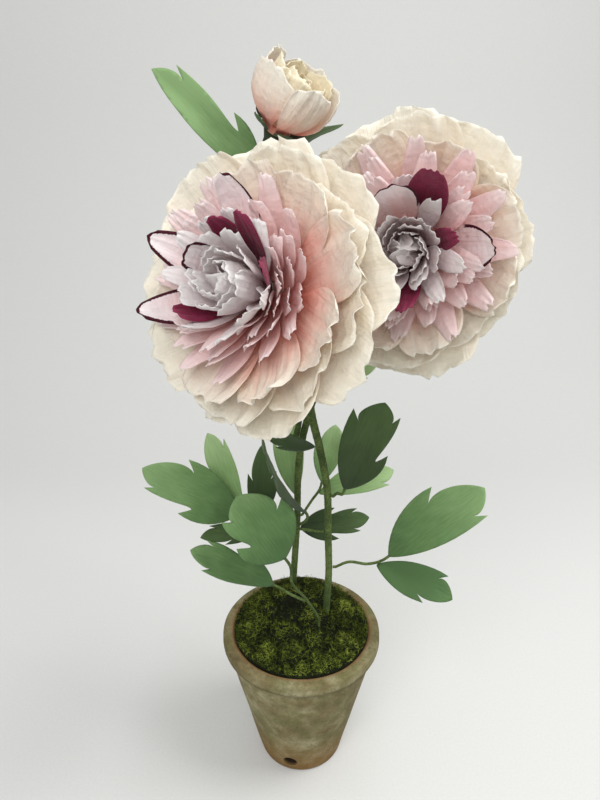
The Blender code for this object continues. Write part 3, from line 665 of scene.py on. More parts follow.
# One green crepe in three copies: the light one is painted as lit, for leaves standing at the back in the
# light, and the dark one is painted as in shade, for undersides and leaves under the blooms and the bud
LEAF_PAINTED_LIT = leaf_crepe("leaf_crepe_light", "#71905A", "#90B074", "#ADC892", 0.30)
LEAF_MID = leaf_crepe("leaf_crepe_mid", "#48673A", "#61824E", "#7F9E69", 0.18)
LEAF_PAINTED_SHADE = leaf_crepe("leaf_crepe_dark", "#26361B", "#344823", "#486034", 0.10)


def curve(a, b, c, d, bits):
    """Points along a curve from a to d, drawn towards b and c; a itself is left out."""
    out = []
    for k in range(1, bits + 1):
        t = k / bits
        out.append(tuple(a[i] * (1 - t) ** 3 + 3 * b[i] * t * (1 - t) ** 2
                         + 3 * c[i] * t * t * (1 - t) + d[i] * t ** 3 for i in (0, 1)))
    return out


def lobed_side(lobes, reach):
    """Outline of one side as (share of the length, width): each lobe ends in a forward point and a notch."""
    line = [(0.0, LEAF_FOOT)]
    wide = reach
    for at, width in lobes:
        wide = width * reach
        start = line[-1]
        run = at - start[0]
        lift = max(start[1], wide * 0.5)
        tip = (at + 0.060, wide * 0.94)
        line += curve(start, (start[0] + run * 0.12, lift * 0.8), (start[0] + run * 0.55, wide * 1.20),
                      tip, 12)
        notch = (at - 0.045, wide * 0.60)
        line += curve(tip, (at + 0.030, wide * 0.84), (at - 0.015, wide * 0.72), notch, 4)
    start = line[-1]
    run = 1 - start[0]
    line += curve(start, (start[0] + run * 0.28, wide * 0.86), (start[0] + run * 0.78, wide * 0.54),
                  (1.0, 0.0), 12)
    return line


def thickened(obj, thick):
    """The thickness of a cut sheet, half of it on each side."""
    sheet = obj.modifiers.new("sheet", "SOLIDIFY")
    sheet.thickness = thick
    sheet.offset = 0.0


def leaf(name, base, tip, face, reach, left, right, fold, bend, mat, slot, tone=0.0):
    """A blade from its base to its tip, its upper side looking along face; tone is painted light and shade,
    making the whole leaf paler where it stands lit and deeper where it stands in shade.
    """
    base = Vector(base)
    along = Vector(tip) - base
    length = along.length
    along.normalize()
    up = Vector(face)
    up = (up - along * up.dot(along)).normalized()
    side = up.cross(along)
    rim = [(u * length, v) for u, v in lobed_side(left, reach)]
    rim += [(u * length, -v) for u, v in reversed(lobed_side(right, reach)[:-1])]
    flat = [Vector(p) for p in rim]
    step = 0.0030
    for i in range(1, int(length / step)):
        for j in range(-int(reach / step) - 1, int(reach / step) + 2):
            spot = Vector((i * step, j * step))
            inside = False
            near = 1.0
            for a, b in zip(rim, rim[1:] + rim[:1]):
                if (a[1] > spot.y) != (b[1] > spot.y):
                    if spot.x < (b[0] - a[0]) * (spot.y - a[1]) / (b[1] - a[1]) + a[0]:
                        inside = not inside
                near = min(near, (spot - Vector(a)).length)
            if inside and near > step * 0.45:
                flat.append(spot)
    edges = [(i, (i + 1) % len(rim)) for i in range(len(rim))]
    points, _, faces, _, _, _ = geometry.delaunay_2d_cdt(flat, edges, [], 1, 1e-6)
    seed = sum(ord(c) for c in name) * 0.37
    verts, shares, grain = [], [], []
    for p in points:
        u = p.x / length
        v = p.y
        crease = math.sqrt(v * v + 0.0015 ** 2) - 0.0015
        wave = 0.0016 * noise.noise(Vector((p.x * 45, v * 45, seed))) * min(1.0, 1.5 * u)
        sag = 0.0035 * (abs(v) / reach) ** 2 * noise.noise(Vector((p.x * 28, math.copysign(3.0, v), seed)))
        lift = bend * length * 4 * u * (1 - u) + 1.4 * fold * crease - 3.0 * v * v + wave + sag
        verts.append(base + along * p.x + side * v + up * lift)
        shares.append(u + tone)
        grain.append((p.x * 1000 + abs(v) * 400, v * 1000, seed))
    obj = piece("blade_" + name, verts, [tuple(f) for f in faces], mat, slot, "leaf_" + name)
    spread(obj.data, "along", "FLOAT", shares)
    spread(obj.data, "grain", "FLOAT_VECTOR", grain)
    thickened(obj, LEAF_THICK)


ONE = ((0.62, 1.0),)
LATE = ((0.80, 1.0),)
TWO = ((0.46, 1.0), (0.78, 0.72))
GREENS = {"light": (LEAF_PAINTED_LIT, "leaf_light"), "mid": (LEAF_MID, "leaf_mid"),
          "dark": (LEAF_PAINTED_SHADE, "leaf_dark")}


def wired(key, face, reach, left, right, fold, bend, green, tone=0.0):
    """A leaf on the end of its own wire."""
    leaf(key, *LEAF_ENDS[key], face, reach, left, right, fold, bend, *GREENS[green], tone)


def seated(name, spot_way, radius, tip, face, reach, left, right, fold, bend, green, tone=0.0):
    """A leaf that starts square off the side of a stem or wire."""
    foot = beside(spot_way, tip, radius, LEAF_FOOT)
    leaf(name, foot, tip, face, reach, left, right, fold, bend, *GREENS[green], tone)


# The last number that some leaves take is painted light and shade: top_left is drawn paler as lit from above,
# and big_front, low_left and low_right deeper as in shade
wired("big_front", (-0.15, -0.62, 0.77), 0.037, ((0.46, 0.92), (0.82, 0.80)), ONE, 0.22, 0.03, "mid", -0.2)
wired("low_left", (-0.25, -0.45, 0.86), 0.020, LATE, ((0.42, 1.0), (0.82, 0.8)), 0.15, 0.05, "mid", -0.2)
wired("far_left", (-0.25, -0.66, 0.70), 0.029, ((0.50, 0.95), (0.86, 0.62)), ONE, 0.20, 0.04, "mid")
wired("edge_on", (-0.88, -0.20, -0.25), 0.017, ONE, ONE, 0.30, 0.05, "dark")
wired("rear_mid", (-0.10, -0.80, 0.55), 0.017, ONE, LATE, 0.20, 0.05, "light")
wired("upper_dark", (0.05, -0.92, 0.05), 0.029, LATE, ((0.46, 0.85), (0.86, 0.7)), 0.16, 0.03, "dark")
wired("right_large", (0.16, -0.62, 0.76), 0.033, ONE, ((0.84, 0.76),), 0.18, 0.03, "mid")
seated("left_rear", along_line(left_line, 0.80), WIRE_R, (-0.1025, 0.040, 0.400), (-0.35, -0.62, 0.60),
       0.018, ONE, LATE, 0.20, 0.02, "light")
seated("small_dark", along_line(left_line, 0.62), WIRE_R, (-0.041, 0.003, 0.403), (0.30, -0.88, 0.10),
       0.016, ONE, ONE, 0.25, 0.03, "dark")
seated("left_sliver", along_line(left_line, 0.52), WIRE_R, (-0.107, -0.016, 0.304), (-0.10, -0.86, 0.30),
       0.012, ONE, LATE, 0.15, -0.03, "dark")
seated("under_bloom", on_line(PATHS["front"], 0.410), STEM_R, (-0.034, -0.034, 0.434), (0.10, -0.80, -0.35),
       0.013, ONE, LATE, 0.20, 0.04, "dark")
seated("rear_tall", on_line(PATHS["back"], 0.318), STEM_R, (-0.020, 0.092, 0.402), (-0.10, -0.80, 0.55),
       0.018, ONE, LATE, 0.20, 0.05, "light")
seated("rear_right", along_line(rear_line, 0.55), WIRE_R, (0.110, 0.080, 0.334), (0.10, -0.66, 0.72),
       0.018, ONE, LATE, 0.20, 0.06, "light")
seated("rear_dark", on_line(PATHS["back"], 0.276), STEM_R, (0.080, 0.052, 0.286), (0.0, -0.85, 0.45),
       0.019, TWO, TWO, 0.20, 0.06, "dark")
seated("low_right", along_line(right_line, 0.62), WIRE_R, (0.160, -0.040, 0.243), (0.05, -0.58, 0.80),
       0.021, LATE, ONE, 0.20, 0.05, "mid", -0.8)
seated("between_blooms", on_line(PATHS["back"], 0.462), STEM_R, (0.078, 0.036, 0.478), (0.0, -0.60, 0.80),
       0.017, ONE, LATE, 0.20, 0.03, "light")
seated("top_left", on_line(PATHS["bud"], 0.660), BUD_STEM_R, (-0.136, 0.060, 0.752), (-0.20, -0.76, 0.55),
       0.026, (), ((0.36, 1.0), (0.84, 0.74)), 0.20, 0.04, "mid", 0.4)
seated("top_right", on_line(PATHS["bud"], 0.664), BUD_STEM_R, (0.040, 0.076, 0.708), (0.25, -0.30, 0.92),
       0.012, ONE, ONE, 0.25, 0.05, "dark")


# The open blooms are rings of crepe petals glued one by one round a spun paper core: broad cream petals
# stretched into cups, narrow snipped pink ones with loose ones between, burgundy and edged accents, and
# white rows round a tight grey-white heart. The coral at each foot is brushed on with chalk.
CORE_R = 0.0155
CORE_TAPER = 0.52
CORE_LENGTH = 0.048
COLLAR = 0.0031
LEVEL_PITCH = 0.0038
PETAL_THICK = 0.0003
# Millimetres added to the distance from the rim where a petal has no ink
NO_INK = 20


def petal_crepe(name, stops, through, sheen=0.12, edge=None, mottle_and_shade=0.07):
    """One layer of crepe: matt, ribbed along the petal, and glowing a little where light comes through.

    stops give the chalked colours from foot to rim; edge gives the ink, the width of its line in
    millimetres and the share of the petal's length at which it begins."""
    mat = finish(name)
    grain = add(mat, "ShaderNodeAttribute", attribute_name="grain").outputs["Vector"]
    along = add(mat, "ShaderNodeAttribute", attribute_name="along").outputs["Fac"]
    # Ribs are about 0.6 mm apart; they are drawn 3 mm apart so that they show, with 9 mm crumples across
    ribbed = add(mat, "ShaderNodeMapping", {"Vector": grain, "Scale": (1 / 3.0, 1 / 40, 1.0)}).outputs[0]
    ribs = grained(mat, ribbed, 1.0, 3.0, Roughness=0.55)
    crushed = add(mat, "ShaderNodeMapping", {"Vector": grain, "Scale": (1 / 9, 1 / 5, 1.0)}).outputs[0]
    crumple = grained(mat, crushed, 1.0, 3.0, Roughness=0.5)
    streaks = add(mat, "ShaderNodeMapping", {"Vector": grain, "Scale": (1 / 7, 1 / 60, 1.0)}).outputs[0]
    brush = grained(mat, streaks, 1.0, 3.0)
    uneven = add(mat, "ShaderNodeMath", {0: brush, 1: 0.5}, operation="SUBTRACT").outputs[0]
    place = scaled(mat, uneven, 0.40, along)
    colour = ramp(mat, place, stops)
    # Each petal is dimmed a little at random, and painted shade darkens the hollows of its crumples and ribs;
    # the burgundy's deeper mottle is partly its own mottled tissue and partly that painted shade
    ply = add(mat, "ShaderNodeMapping", {"Vector": grain, "Scale": (1 / 400, 1 / 400, 1.0)}).outputs[0]
    own = grained(mat, ply, 1.0, 0.0)
    tone_and_crease_shade = scaled(mat, own, 0.8, crumple)
    tone_and_crease_shade = scaled(mat, ribs, 0.5, tone_and_crease_shade)
    shade = ranged(mat, tone_and_crease_shade, 0.75, 1.55, 1 - mottle_and_shade, 1.0)
    colour = add(mat, "ShaderNodeVectorMath", {0: colour, "Scale": shade}, operation="SCALE").outputs[0]
    if edge:
        ink, width, down = edge
        rim = add(mat, "ShaderNodeAttribute", attribute_name="rim").outputs["Fac"]
        rag = grained(mat, grain, 1 / 1.3, 3.0)
        reach = scaled(mat, rag, -2.2, rim)
        line = ranged(mat, reach, width - 0.75, width - 1.05)
        upper = ranged(mat, place, down, down + 0.05)
        inked = scaled(mat, line, upper)
        colour = over(mat, inked, colour, ink)
    height = scaled(mat, crumple, 0.9, ribs)
    bump = pressed(mat, height, 0.58, 0.0024)
    front = add(mat, "ShaderNodeBsdfPrincipled", {"Base Color": colour, "Roughness": 0.68, "Normal": bump,
                                                  "IOR": 1.45, "Specular IOR Level": 0.3,
                                                  "Sheen Weight": sheen, "Sheen Roughness": 0.4})
    lit = add(mat, "ShaderNodeBsdfTranslucent", {"Color": colour, "Normal": bump})
    shader = add(mat, "ShaderNodeMixShader", {0: through, 1: front.outputs[0], 2: lit.outputs[0]})
    return surfaced(mat, shader)


CREAM = petal_crepe("petal_crepe_cream", [
    (0.10, "#F2A48F"), (0.28, "#F7CBBA"), (0.46, "#F9E4D4"), (0.70, "#F9F1E2"), (1.0, "#F9F5E9")], 0.34)
CORAL = petal_crepe("petal_crepe_coral_foot", [
    (0.12, "#EE8D79"), (0.29, "#F4B09E"), (0.48, "#F8D2C3"), (0.70, "#F9EBDC"), (1.0, "#F9F5E9")], 0.34)
PINK = petal_crepe("petal_crepe_pink", [
    (0.15, "#F3A89C"), (0.36, "#F8CCC7"), (0.62, "#FADFDD"), (1.0, "#FAEFEE")], 0.38)
LAVENDER = petal_crepe("petal_crepe_lavender", [
    (0.15, "#ECD2D1"), (0.40, "#F2E3E3"), (0.75, "#F6EFEE"), (0.98, "#F8F5F4")], 0.34)
EDGED = petal_crepe("petal_crepe_white_edged", [
    (0.15, "#F4B8AF"), (0.40, "#F8D8D4"), (0.70, "#F8EAEA"), (1.0, "#FAF4F4")], 0.32,
    edge=("#4A0E20", 2.3, 0.50))
BURGUNDY = petal_crepe("petal_crepe_burgundy", [
    (0.10, "#5E112C"), (0.55, "#8A2246"), (0.95, "#9C3859")], 0.16, mottle_and_shade=0.35)
# The foot of the core is wound over with green crepe, which ends unevenly at the lowest petals
CORE_PAPER = petal_crepe("core_spun_paper", [
    (0.04, "#3C5030"), (0.12, "#9C8C86"), (0.9, "#CFC4BC")], 0.0)


def core_r(z, scale):
    """Radius of a core at a height over its seat: a cone with a rounded tip."""
    share = z / (CORE_LENGTH * scale)
    cone = CORE_R * scale * (1 - CORE_TAPER * share)
    return cone if share < 0.8 else cone * math.sqrt(max(0.0, 1 - ((share - 0.8) / 0.2) ** 2))


def stand(head):
    """Where a head stands and how it is turned: its own +Z looks the way the head looks."""
    spot, turn, rise = head
    return (Matrix.Translation(spot) @ Matrix.Rotation(-math.radians(turn), 4, "Z")
            @ Matrix.Rotation(math.radians(90 - rise), 4, "X"))


def core(key, head, scale, mat=CORE_PAPER):
    """The spun core that the petals are glued to."""
    top = CORE_LENGTH * scale
    line = [(0.0, top)] + [(core_r(top * k, scale), top * k) for k in (0.995, 0.98, 0.95, 0.90, 0.85, 0.80)]
    line += [(CORE_R * scale, 0.0), (CORE_R * scale * 0.80, -CORE_DROP * scale), (0.0, -CORE_DROP * scale)]
    verts, faces = turned(even([Vector(p) for p in line], 0.004), 40)
    at = stand(head)
    obj = piece(key + "_spun_core", [at @ v for v in verts], [f[::-1] for f in faces], mat, "core",
                key + "_core")
    spread(obj.data, "along", "FLOAT", [v.z / top for v in verts])
    spread(obj.data, "grain", "FLOAT_VECTOR", [(math.atan2(v.y, v.x) * 12, v.z * 1000, 2.0) for v in verts])


def wrapped_cone(key, head, scale, stem):
    """The strip of crepe wound round the stem's end, in the green painted as in shade, wider and wider up to
    the foot of the core.
    """
    foot = -CORE_DROP * scale - 0.0002
    wide = CORE_R * scale * 0.78
    line = [(0.0, foot - 0.020), (stem + 0.0004, foot - 0.020), (stem * 0.5 + wide * 0.4, foot - 0.009),
            (wide, foot - 0.0012), (wide * 0.95, foot), (0.0, foot)]
    verts, faces = turned(even([Vector(p) for p in line], 0.003), 24)
    at = stand(head)
    obj = piece(key + "_wrapped_cone", [at @ v for v in verts], faces, LEAF_PAINTED_SHADE, "leaf_dark")
    spread(obj.data, "along", "FLOAT", [-0.2] * len(verts))
    spread(obj.data, "grain", "FLOAT_VECTOR", [(v.z * 1000, math.atan2(v.y, v.x) * 8, 5.0) for v in verts])


def broad(s):
    """Share of the full width along a broad petal: a wedge with a wide round end."""
    if s < 0.66:
        return math.sin(math.pi / 2 * s / 0.66) ** 1.15
    return math.sqrt(max(0.0, 1 - 0.84 * ((s - 0.66) / 0.34) ** 2))


def narrow(s):
    """Share of the full width along a narrow pointed petal."""
    if s < 0.58:
        return math.sin(math.pi / 2 * s / 0.58)
    return max(0.05, 1 - 0.95 * ((s - 0.58) / 0.42) ** 1.25)


def lance(s):
    """Share of the full width along a petal that is broad in the middle and comes to a point."""
    if s < 0.58:
        return math.sin(math.pi / 2 * s / 0.58) ** 1.1
    return max(0.04, 1 - 0.96 * ((s - 0.58) / 0.42) ** 1.7)


def snipped(rng, teeth):
    """Heights of a cut edge from 0 to 1 across a petal, joined by straight snips."""
    heights = [rng.random() for _ in range(teeth + 1)]

    def height(w):
        place = (w + 1) / 2 * teeth
        i = min(int(place), teeth - 1)
        return heights[i] + (heights[i + 1] - heights[i]) * (place - i)
    return height


def petal_row(name, nodes, head, scale, level, count, length, width, lean, cup, spin, ruffle, form, mat, slot,
              only=None, slots=5, turn=0.0, reach=None, rows=24, columns=18, teeth=9, snip=0.035,
              wild=3.0, roll=(-0.004, 0.006), frill=0.0012, crease=0.0008, belly=0.0, sway=0.0,
              cleft=0.0, keel=0.0, bare=None, nudge=None, own=None):
    """One ring of petals round the core, each a thin stretched sheet with its own cut edge and curl.

    cleft is how deep the notch of an M-shaped end may be and keel the height of a pressed middle fold. bare
    gives the sides, 1 or -1, on which a petal has no ink. nudge turns a petal round the core by degrees, and
    own gives it its own shares of the length and width and its own lean outward in degrees."""
    top = (level * LEVEL_PITCH + COLLAR) * scale
    bottom = top - COLLAR * scale
    start, end = (math.radians(a) for a in lean)
    step = math.tau / (count * slots)
    collar = core_r(max(bottom, 0.0), scale) + GAP + 0.0005
    foot = collar * step * (slots - 1) / 2
    at = stand(head) @ Matrix.Rotation(turn, 4, "Z")
    verts, faces, along, rim, grain = [], [], [], [], []
    for petal in range(count):
        if only is not None and petal not in only:
            continue
        rng = random.Random(name + str(petal))
        cut = snipped(rng, teeth)
        seed = rng.uniform(0, 50)
        angle = step * (petal * slots + (slots - 1) / 2)
        angle += math.radians((nudge or {}).get(petal, rng.uniform(-sway, sway)))
        long = length * scale * (1 + 0.03 * math.sin(2.3 * petal + 7 * turn + level))
        share = reach(math.degrees(angle + turn) % 360.0) if reach else 1.0
        longer, fuller, opened = (own or {}).get(petal, (1.0, 1.0, 0.0))
        long *= share * longer
        tilt = start + math.radians(opened)
        deep = belly * rng.uniform(0.4, 1.3)
        bow = end - start + math.radians(rng.uniform(-wild, wild)) - 0.6 * max(0.0, 1 - share)
        curl_over = rng.uniform(*roll) * scale
        phase = rng.uniform(0, math.tau)
        dry = (bare or {}).get(petal, ())
        split = cleft * max(0.0, rng.uniform(-0.9, 1.0))
        lop = rng.uniform(-0.25, 0.25)
        fold = keel * scale * rng.uniform(0.4, 1.6)
        first = len(verts)
        for k in range(-1, rows + 1):
            v = max(k, 0) / rows
            for i in range(columns + 1):
                w = 2 * i / columns - 1
                # The last 0.4 of the length takes the cut edge and the notch
                late = max(0.0, (v - 0.6) / 0.4)
                s = v * (1 - 0.07 * w * w * v * v) - snip * cut(w) * late
                s -= split * max(0.0, 1 - 2.2 * abs(w - lop)) * late
                # The petal bends from its first lean to its last one, and across into a cup
                lean_here = tilt + bow * s
                r = collar + long * (math.cos(tilt) - math.cos(lean_here)) / bow
                z = top + long * (math.sin(lean_here) - math.sin(tilt)) / bow
                half = foot + (width * fuller * scale - foot) * min(1.0, form(s) + 1.3 * split * late)
                bend = 1 / (math.cos(lean_here) / max(r, collar) + (cup + deep * max(0.0, s - 0.35)) / scale)
                curl = half * w / bend
                off = bend * (1 - math.cos(curl))
                off += spin * scale * w * min(1.0, s / 0.45)
                off += ruffle * scale * s * s * math.sin(2.6 * w + 1.9 * petal + level)
                off += curl_over * max(0.0, (s - 0.62) / 0.38) ** 2
                off += frill * s ** 3 * math.sin(9.0 * w + phase) * (0.4 + abs(w))
                off -= fold * (math.sqrt(w * w + 0.01) - 0.1) * min(1.0, 2 * s)
                ribs = noise.noise(Vector((w * 4.5 + seed, s * 1.4, seed)))
                crush = noise.noise(Vector((w * 7.0, s * 9.0, seed)))
                off += s * (crease * ribs + crease * 0.6 * crush * s)
                r -= math.cos(lean_here) * off
                z += math.sin(lean_here) * off
                t = bend * math.sin(curl)
                if k < 0:
                    z = bottom
                verts.append(Vector((r * math.cos(angle) - t * math.sin(angle),
                                     r * math.sin(angle) + t * math.cos(angle), z)))
                along.append(s)
                off_ink = NO_INK if any(w * side >= 0 for side in dry) else 0
                rim.append(1000 * min((1 - abs(w)) * half, (1 - v) * long) + off_ink)
                grain.append((half * w * 1000, s * long * 1000, seed * 7))
        wide = columns + 1
        for k in range(rows + 1):
            for i in range(columns):
                a = first + k * wide + i
                faces.append((a, a + 1, a + wide + 1, a + wide))
    obj = piece(name, [at @ v for v in verts], faces, mat, slot, *nodes)
    spread(obj.data, "along", "FLOAT", along)
    spread(obj.data, "rim", "FLOAT", rim)
    spread(obj.data, "grain", "FLOAT_VECTOR", grain)
    thickened(obj, PETAL_THICK)


CREAM_CUT = {"rows": 28, "columns": 22, "teeth": 11, "snip": 0.045, "cleft": 0.07, "frill": 0.0026,
             "crease": 0.0036}
PINK_CUT = {"slots": 3, "rows": 20, "columns": 12, "teeth": 6, "snip": 0.05, "roll": (-0.007, 0.003),
            "frill": 0.0008, "wild": 7.0, "sway": 4.0, "cleft": 0.12, "keel": 0.0018}
WHITE_CUT = {"rows": 18, "columns": 12, "teeth": 5, "snip": 0.07, "roll": (-0.005, 0.003), "sway": 5.0,
             "cleft": 0.12, "keel": 0.0010}


def bloom(key, head, scale, reach, pink_reach, pink_gaps, pushed, white_gaps, inked, burgundy, edged):
    """An open bloom, from the sepals up to the heart.

    reach and pink_reach give the share of the full length at an angle round the bloom. pink_gaps and
    white_gaps are the places left open round the accents, and pushed gives the degrees that single pink
    petals are turned by. inked gives the place, length, width and lean of the inked petal in the heart;
    burgundy and edged say which petals of those two rings are there and how they stand."""
    def row(part, level, count, length, width, lean, cup, spin, ruffle, form, mat, slot,
            replaced=True, **more):
        nodes = [key + "_" + part] if replaced else []
        petal_row(key + "_petals_" + part, nodes, head, scale, level, count, length, width, lean, cup, spin,
                  ruffle, form, mat, slot, **more)

    core(key, head, scale)
    wrapped_cone(key, head, scale, STEM_R)
    row("sepals", -1.0, 5, 0.034, 0.011, (104, 128), 1.0, 0.0, 0.0, broad, LEAF_MID, "leaf_mid", slots=3,
        rows=10, columns=8, snip=0.02, wild=0.0, roll=(0.0, 0.0), frill=0.0)
    row("outer_low", 0, 8, 0.098, 0.044, (100, 66), 6.0, 0.0046, 0.0030, broad, CREAM, "petal_cream",
        reach=reach, belly=6.0, roll=(-0.010, 0.004), wild=5.0, sway=3.0, **CREAM_CUT)
    row("outer_mid", 1, 8, 0.091, 0.038, (89, 60), 6.0, 0.0042, 0.0028, broad, CREAM, "petal_cream",
        turn=0.45, reach=reach, belly=9.0, roll=(-0.003, 0.010), wild=6.0, sway=4.0, **CREAM_CUT)
    row("outer_high", 2, 8, 0.082, 0.030, (79, 53), 6.0, 0.0036, 0.0024, broad, CORAL, "petal_peach",
        turn=0.1, belly=11.0, roll=(-0.001, 0.012), wild=8.0, sway=6.0, **CREAM_CUT)
    row("pink_wide", 3, 12, 0.084, 0.0105, (69, 46), 4.0, 0.0016, 0.0008, narrow, PINK, "petal_pink",
        turn=0.35, reach=pink_reach, **PINK_CUT)
    row("pink_low", 4, 12, 0.076, 0.0100, (60, 38), 4.0, 0.0016, 0.0008, narrow, PINK, "petal_pink",
        turn=0.2, reach=pink_reach, **PINK_CUT)
    row("edged", 5, 8, 0.081, 0.0145, (55, 36), 6.0, 0.0012, 0.0006, lance, EDGED, "petal_edged",
        slots=4, rows=26, columns=16, snip=0.01, wild=4.0, **edged)
    row("pink_between", 5.5, 10, 0.066, 0.0085, (56, 33), 4.0, 0.0016, 0.0008, narrow, PINK, "petal_pink",
        replaced=False, turn=0.05, reach=pink_reach, only=[i for i in range(10) if i not in pink_gaps],
        **PINK_CUT)
    row("pink_high", 6, 11, 0.067, 0.0095, (49, 29), 4.0, 0.0016, 0.0008, narrow, PINK, "petal_pink",
        turn=0.5, reach=pink_reach, nudge=pushed, **PINK_CUT)
    row("burgundy", 7, 8, 0.062, 0.0110, (40, 19), 6.0, 0.0012, 0.0006, lance, BURGUNDY, "petal_burgundy",
        slots=4, rows=20, columns=12, keel=0.001, **burgundy)
    row("white_low", 7.2, 11, 0.060, 0.0085, (43, 22), 6.0, 0.0012, 0.0006, lance, LAVENDER, "petal_lavender",
        replaced=False, turn=0.75, slots=4, wild=7.0, only=[i for i in range(11) if i not in white_gaps],
        **WHITE_CUT)
    row("inner_low", 8, 8, 0.050, 0.0100, (28, 6), 6.0, 0.0016, 0.0005, broad, LAVENDER, "petal_lavender",
        turn=0.3, slots=4, wild=10.0, **WHITE_CUT)
    row("inked_heart", 8.4, 8, inked[1], inked[2], inked[3], 8.0, 0.0016, 0.0005, broad, EDGED, "petal_edged",
        replaced=False, only=(inked[0],), slots=4, rows=22, columns=14, snip=0.03, wild=0.0,
        roll=(0.001, 0.002))
    row("inner_mid", 8.7, 6, 0.046, 0.0095, (24, -4), 6.0, 0.0026, 0.0006, broad, LAVENDER, "petal_lavender",
        replaced=False, turn=0.9, slots=3, wild=14.0, **WHITE_CUT)
    row("inner_high", 9, 6, 0.044, 0.0075, (15, -13), 6.0, 0.0016, 0.0004, broad, LAVENDER, "petal_lavender",
        slots=3, wild=12.0, **WHITE_CUT)
    row("heart", 9.4, 5, 0.036, 0.0115, (14, -66), 6.0, 0.0065, 0.0004, broad, LAVENDER, "petal_lavender",
        replaced=False, slots=3, turn=0.6, wild=14.0, **WHITE_CUT)


bloom("front", FRONT_HEAD, 1.0,
      lambda a: (1 - 0.14 * max(0.0, math.cos(math.radians(a - 5)))
                 + 0.16 * max(0.0, math.cos(math.radians(a - 155)))),
      lambda a: (1 - 0.42 * math.sqrt(max(0.0, math.cos(math.radians(a))))
                 - 0.12 * max(0.0, math.cos(math.radians(a - 245)))),
      (2, 4, 5), {2: 15, 4: 14, 5: 22}, (5, 10), (3, 0.053, 0.0115, (32, 2)),
      {"only": (0, 1, 2, 5), "turn": -0.085, "nudge": {1: 12, 5: -8}},
      {"only": (2, 3, 4), "turn": 0.09, "nudge": {2: -14, 3: 6, 4: 5}, "bare": {2: (1,)}})
petal_row("front_petal_curled", [], FRONT_HEAD, 1.0, 8.2, 8, 0.040, 0.0135, (50, 36), 110.0, 0.0, 0.0, broad,
          LAVENDER, "petal_lavender", only=(7,), turn=0.1, slots=4, rows=18, columns=18, snip=0.05, wild=0.0)
bloom("back", BACK_HEAD, BACK_SCALE,
      lambda a: 1 - 0.18 * max(0.0, math.cos(math.radians(a))),
      lambda a: 1 - 0.12 * max(0.0, -math.sin(math.radians(a))),
      (0, 2, 4), {10: -15, 2: 12, 3: 14}, (1, 7, 10), (2, 0.066, 0.0210, (48, 16)),
      {"only": (0, 1, 6), "turn": 0.02, "nudge": {1: 6, 6: -10},
       "own": {0: (0.86, 0.8, 0), 1: (1.38, 1.45, 5)}},
      {"only": (0, 2, 3), "turn": -0.24, "own": {0: (1.0, 1.25, 0), 2: (0.75, 1.0, 0)}, "bare": {2: (-1, 1)}})


# The bud has two rings of five broad cream petals stretched into a cup, and four folded ones in its heart,
# round a small core. A narrow calyx, in the green painted as in shade, stands under it on a cone of that
# green crepe wound round the stem.
BUD_CREAM = petal_crepe("petal_crepe_bud", [
    (0.10, "#F2A895"), (0.26, "#F7CDBD"), (0.50, "#FAEBDF"), (0.92, "#FAF6EC")], 0.38)
BUD_INSIDE = petal_crepe("petal_crepe_bud_inside", [
    (0.15, "#F5D6B8"), (0.40, "#F9EACB"), (0.95, "#FAF4DF")], 0.38)
core("bud", BUD_HEAD, BUD_SCALE, BUD_CREAM)
wrapped_cone("bud", BUD_HEAD, BUD_SCALE, BUD_STEM_R)
BUD_CUT = {"teeth": 8, "roll": (-0.002, 0.002), "snip": 0.08, "cleft": 0.08}
petal_row("bud_wrapped_calyx", ["bud_calyx"], BUD_HEAD, BUD_SCALE, -1.0, 5, 0.020, 0.012, (100, 22), 4.0,
          0.0010, 0.0, narrow, LEAF_PAINTED_SHADE, "leaf_dark", slots=3, rows=12, columns=8, snip=0.02, wild=0.0,
          roll=(0.0, 0.0), frill=0.0)
petal_row("bud_petals_outer", ["bud_outer"], BUD_HEAD, BUD_SCALE, 0, 5, 0.078, 0.0330, (66, -24), 1.0,
          0.0056, 0.0006, broad, BUD_CREAM, "petal_cream", roll=(-0.004, 0.001), teeth=8, snip=0.06,
          crease=0.0028, frill=0.0018, cleft=0.05, columns=22, rows=26)
petal_row("bud_petals_inner", ["bud_inner"], BUD_HEAD, BUD_SCALE, 1.4, 5, 0.066, 0.0235, (44, -20), 1.0,
          0.0046, 0.0004, broad, BUD_INSIDE, "petal_peach", turn=0.5, crease=0.0026, frill=0.0018, **BUD_CUT)
petal_row("bud_petals_heart", [], BUD_HEAD, BUD_SCALE, 3.2, 4, 0.054, 0.0190, (30, -48), 1.0, 0.0050,
          0.0004, broad, BUD_INSIDE, "petal_peach", turn=0.2, wild=8.0, crease=0.0022, frill=0.0016,
          **BUD_CUT)


# The stand for the picture is a pale paper floor that curves up behind, with two soft square lamps, a dim
# even sky and the camera. None of it belongs to the plant.
def pale_floor():
    """Plain pale paper sweep: dead flat in finish, with the faintest tooth."""
    mat = finish("pale_sweep")
    spot = add(mat, "ShaderNodeTexCoord").outputs["Object"]
    tooth = grained(mat, spot, per_metre(3), 2.0)
    colour = ramp(mat, tooth, [(0.3, "#D2D2CF"), (0.7, "#D6D6D3")])
    shader = add(mat, "ShaderNodeBsdfPrincipled", {"Base Color": colour, "Roughness": 0.9,
                                                   "Specular IOR Level": 0.1})
    return surfaced(mat, shader)


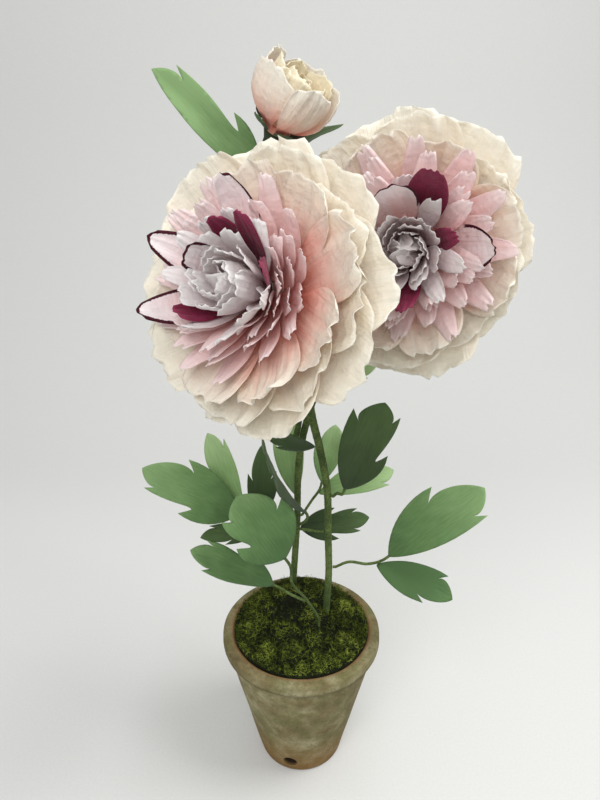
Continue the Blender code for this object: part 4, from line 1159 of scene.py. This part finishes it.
SWEEP_BACK = 1.6
SWEEP_TALL = 3.2
SWEEP_BEND = 0.9
profile = [(-3.0, 0.0), (SWEEP_BACK - SWEEP_BEND, 0.0)]
profile += [(SWEEP_BACK - SWEEP_BEND + SWEEP_BEND * math.sin(math.pi / 2 * k / 16),
             SWEEP_BEND - SWEEP_BEND * math.cos(math.pi / 2 * k / 16)) for k in range(1, 17)]
profile.append((SWEEP_BACK, SWEEP_TALL))
sweep_mesh = bpy.data.meshes.new("pale_sweep")
sweep_mesh.from_pydata([(x, y, z) for y, z in profile for x in (-4.0, 4.0)], [],
                       [(2 * k, 2 * k + 1, 2 * k + 3, 2 * k + 2) for k in range(len(profile) - 1)])
sweep_mesh.polygons.foreach_set("use_smooth", [True] * len(sweep_mesh.polygons))
sweep_mesh.materials.append(pale_floor())
sweep = bpy.data.objects.new("pale_sweep", sweep_mesh)
bpy.context.scene.collection.objects.link(sweep)


def lamp(name, spot, toward, size, power):
    """A soft square lamp that looks at a place."""
    data = bpy.data.lights.new(name, "AREA")
    data.shape = "SQUARE"
    data.size = size
    data.energy = power
    obj = bpy.data.objects.new(name, data)
    obj.location = spot
    obj.rotation_euler = (Vector(toward) - Vector(spot)).to_track_quat("-Z", "Y").to_euler()
    bpy.context.scene.collection.objects.link(obj)


lamp("key_lamp", (0.9, -0.15, 1.9), (0.02, 0.0, 0.45), 0.9, 24.0)
lamp("fill_lamp", (-0.45, -1.75, 1.75), (0.0, 0.0, 0.5), 1.5, 31.0)
world = bpy.data.worlds.new("soft_room")
world.use_nodes = True
world.node_tree.nodes["Background"].inputs["Color"].default_value = linear("#F2F4F6")
world.node_tree.nodes["Background"].inputs["Strength"].default_value = 0.60
bpy.context.scene.world = world
bpy.context.scene.view_settings.view_transform = "Standard"

camera = bpy.data.cameras.new("camera")
camera.lens = 27.05
camera.sensor_width = 36.0
camera.clip_start = 0.01
eye = bpy.data.objects.new("camera", camera)
eye.location = (-0.0014, -0.5554, 0.6713)
eye.rotation_euler = (math.radians(90 - 21.34), 0.0, 0.0)
bpy.context.scene.collection.objects.link(eye)
bpy.context.scene.camera = eye
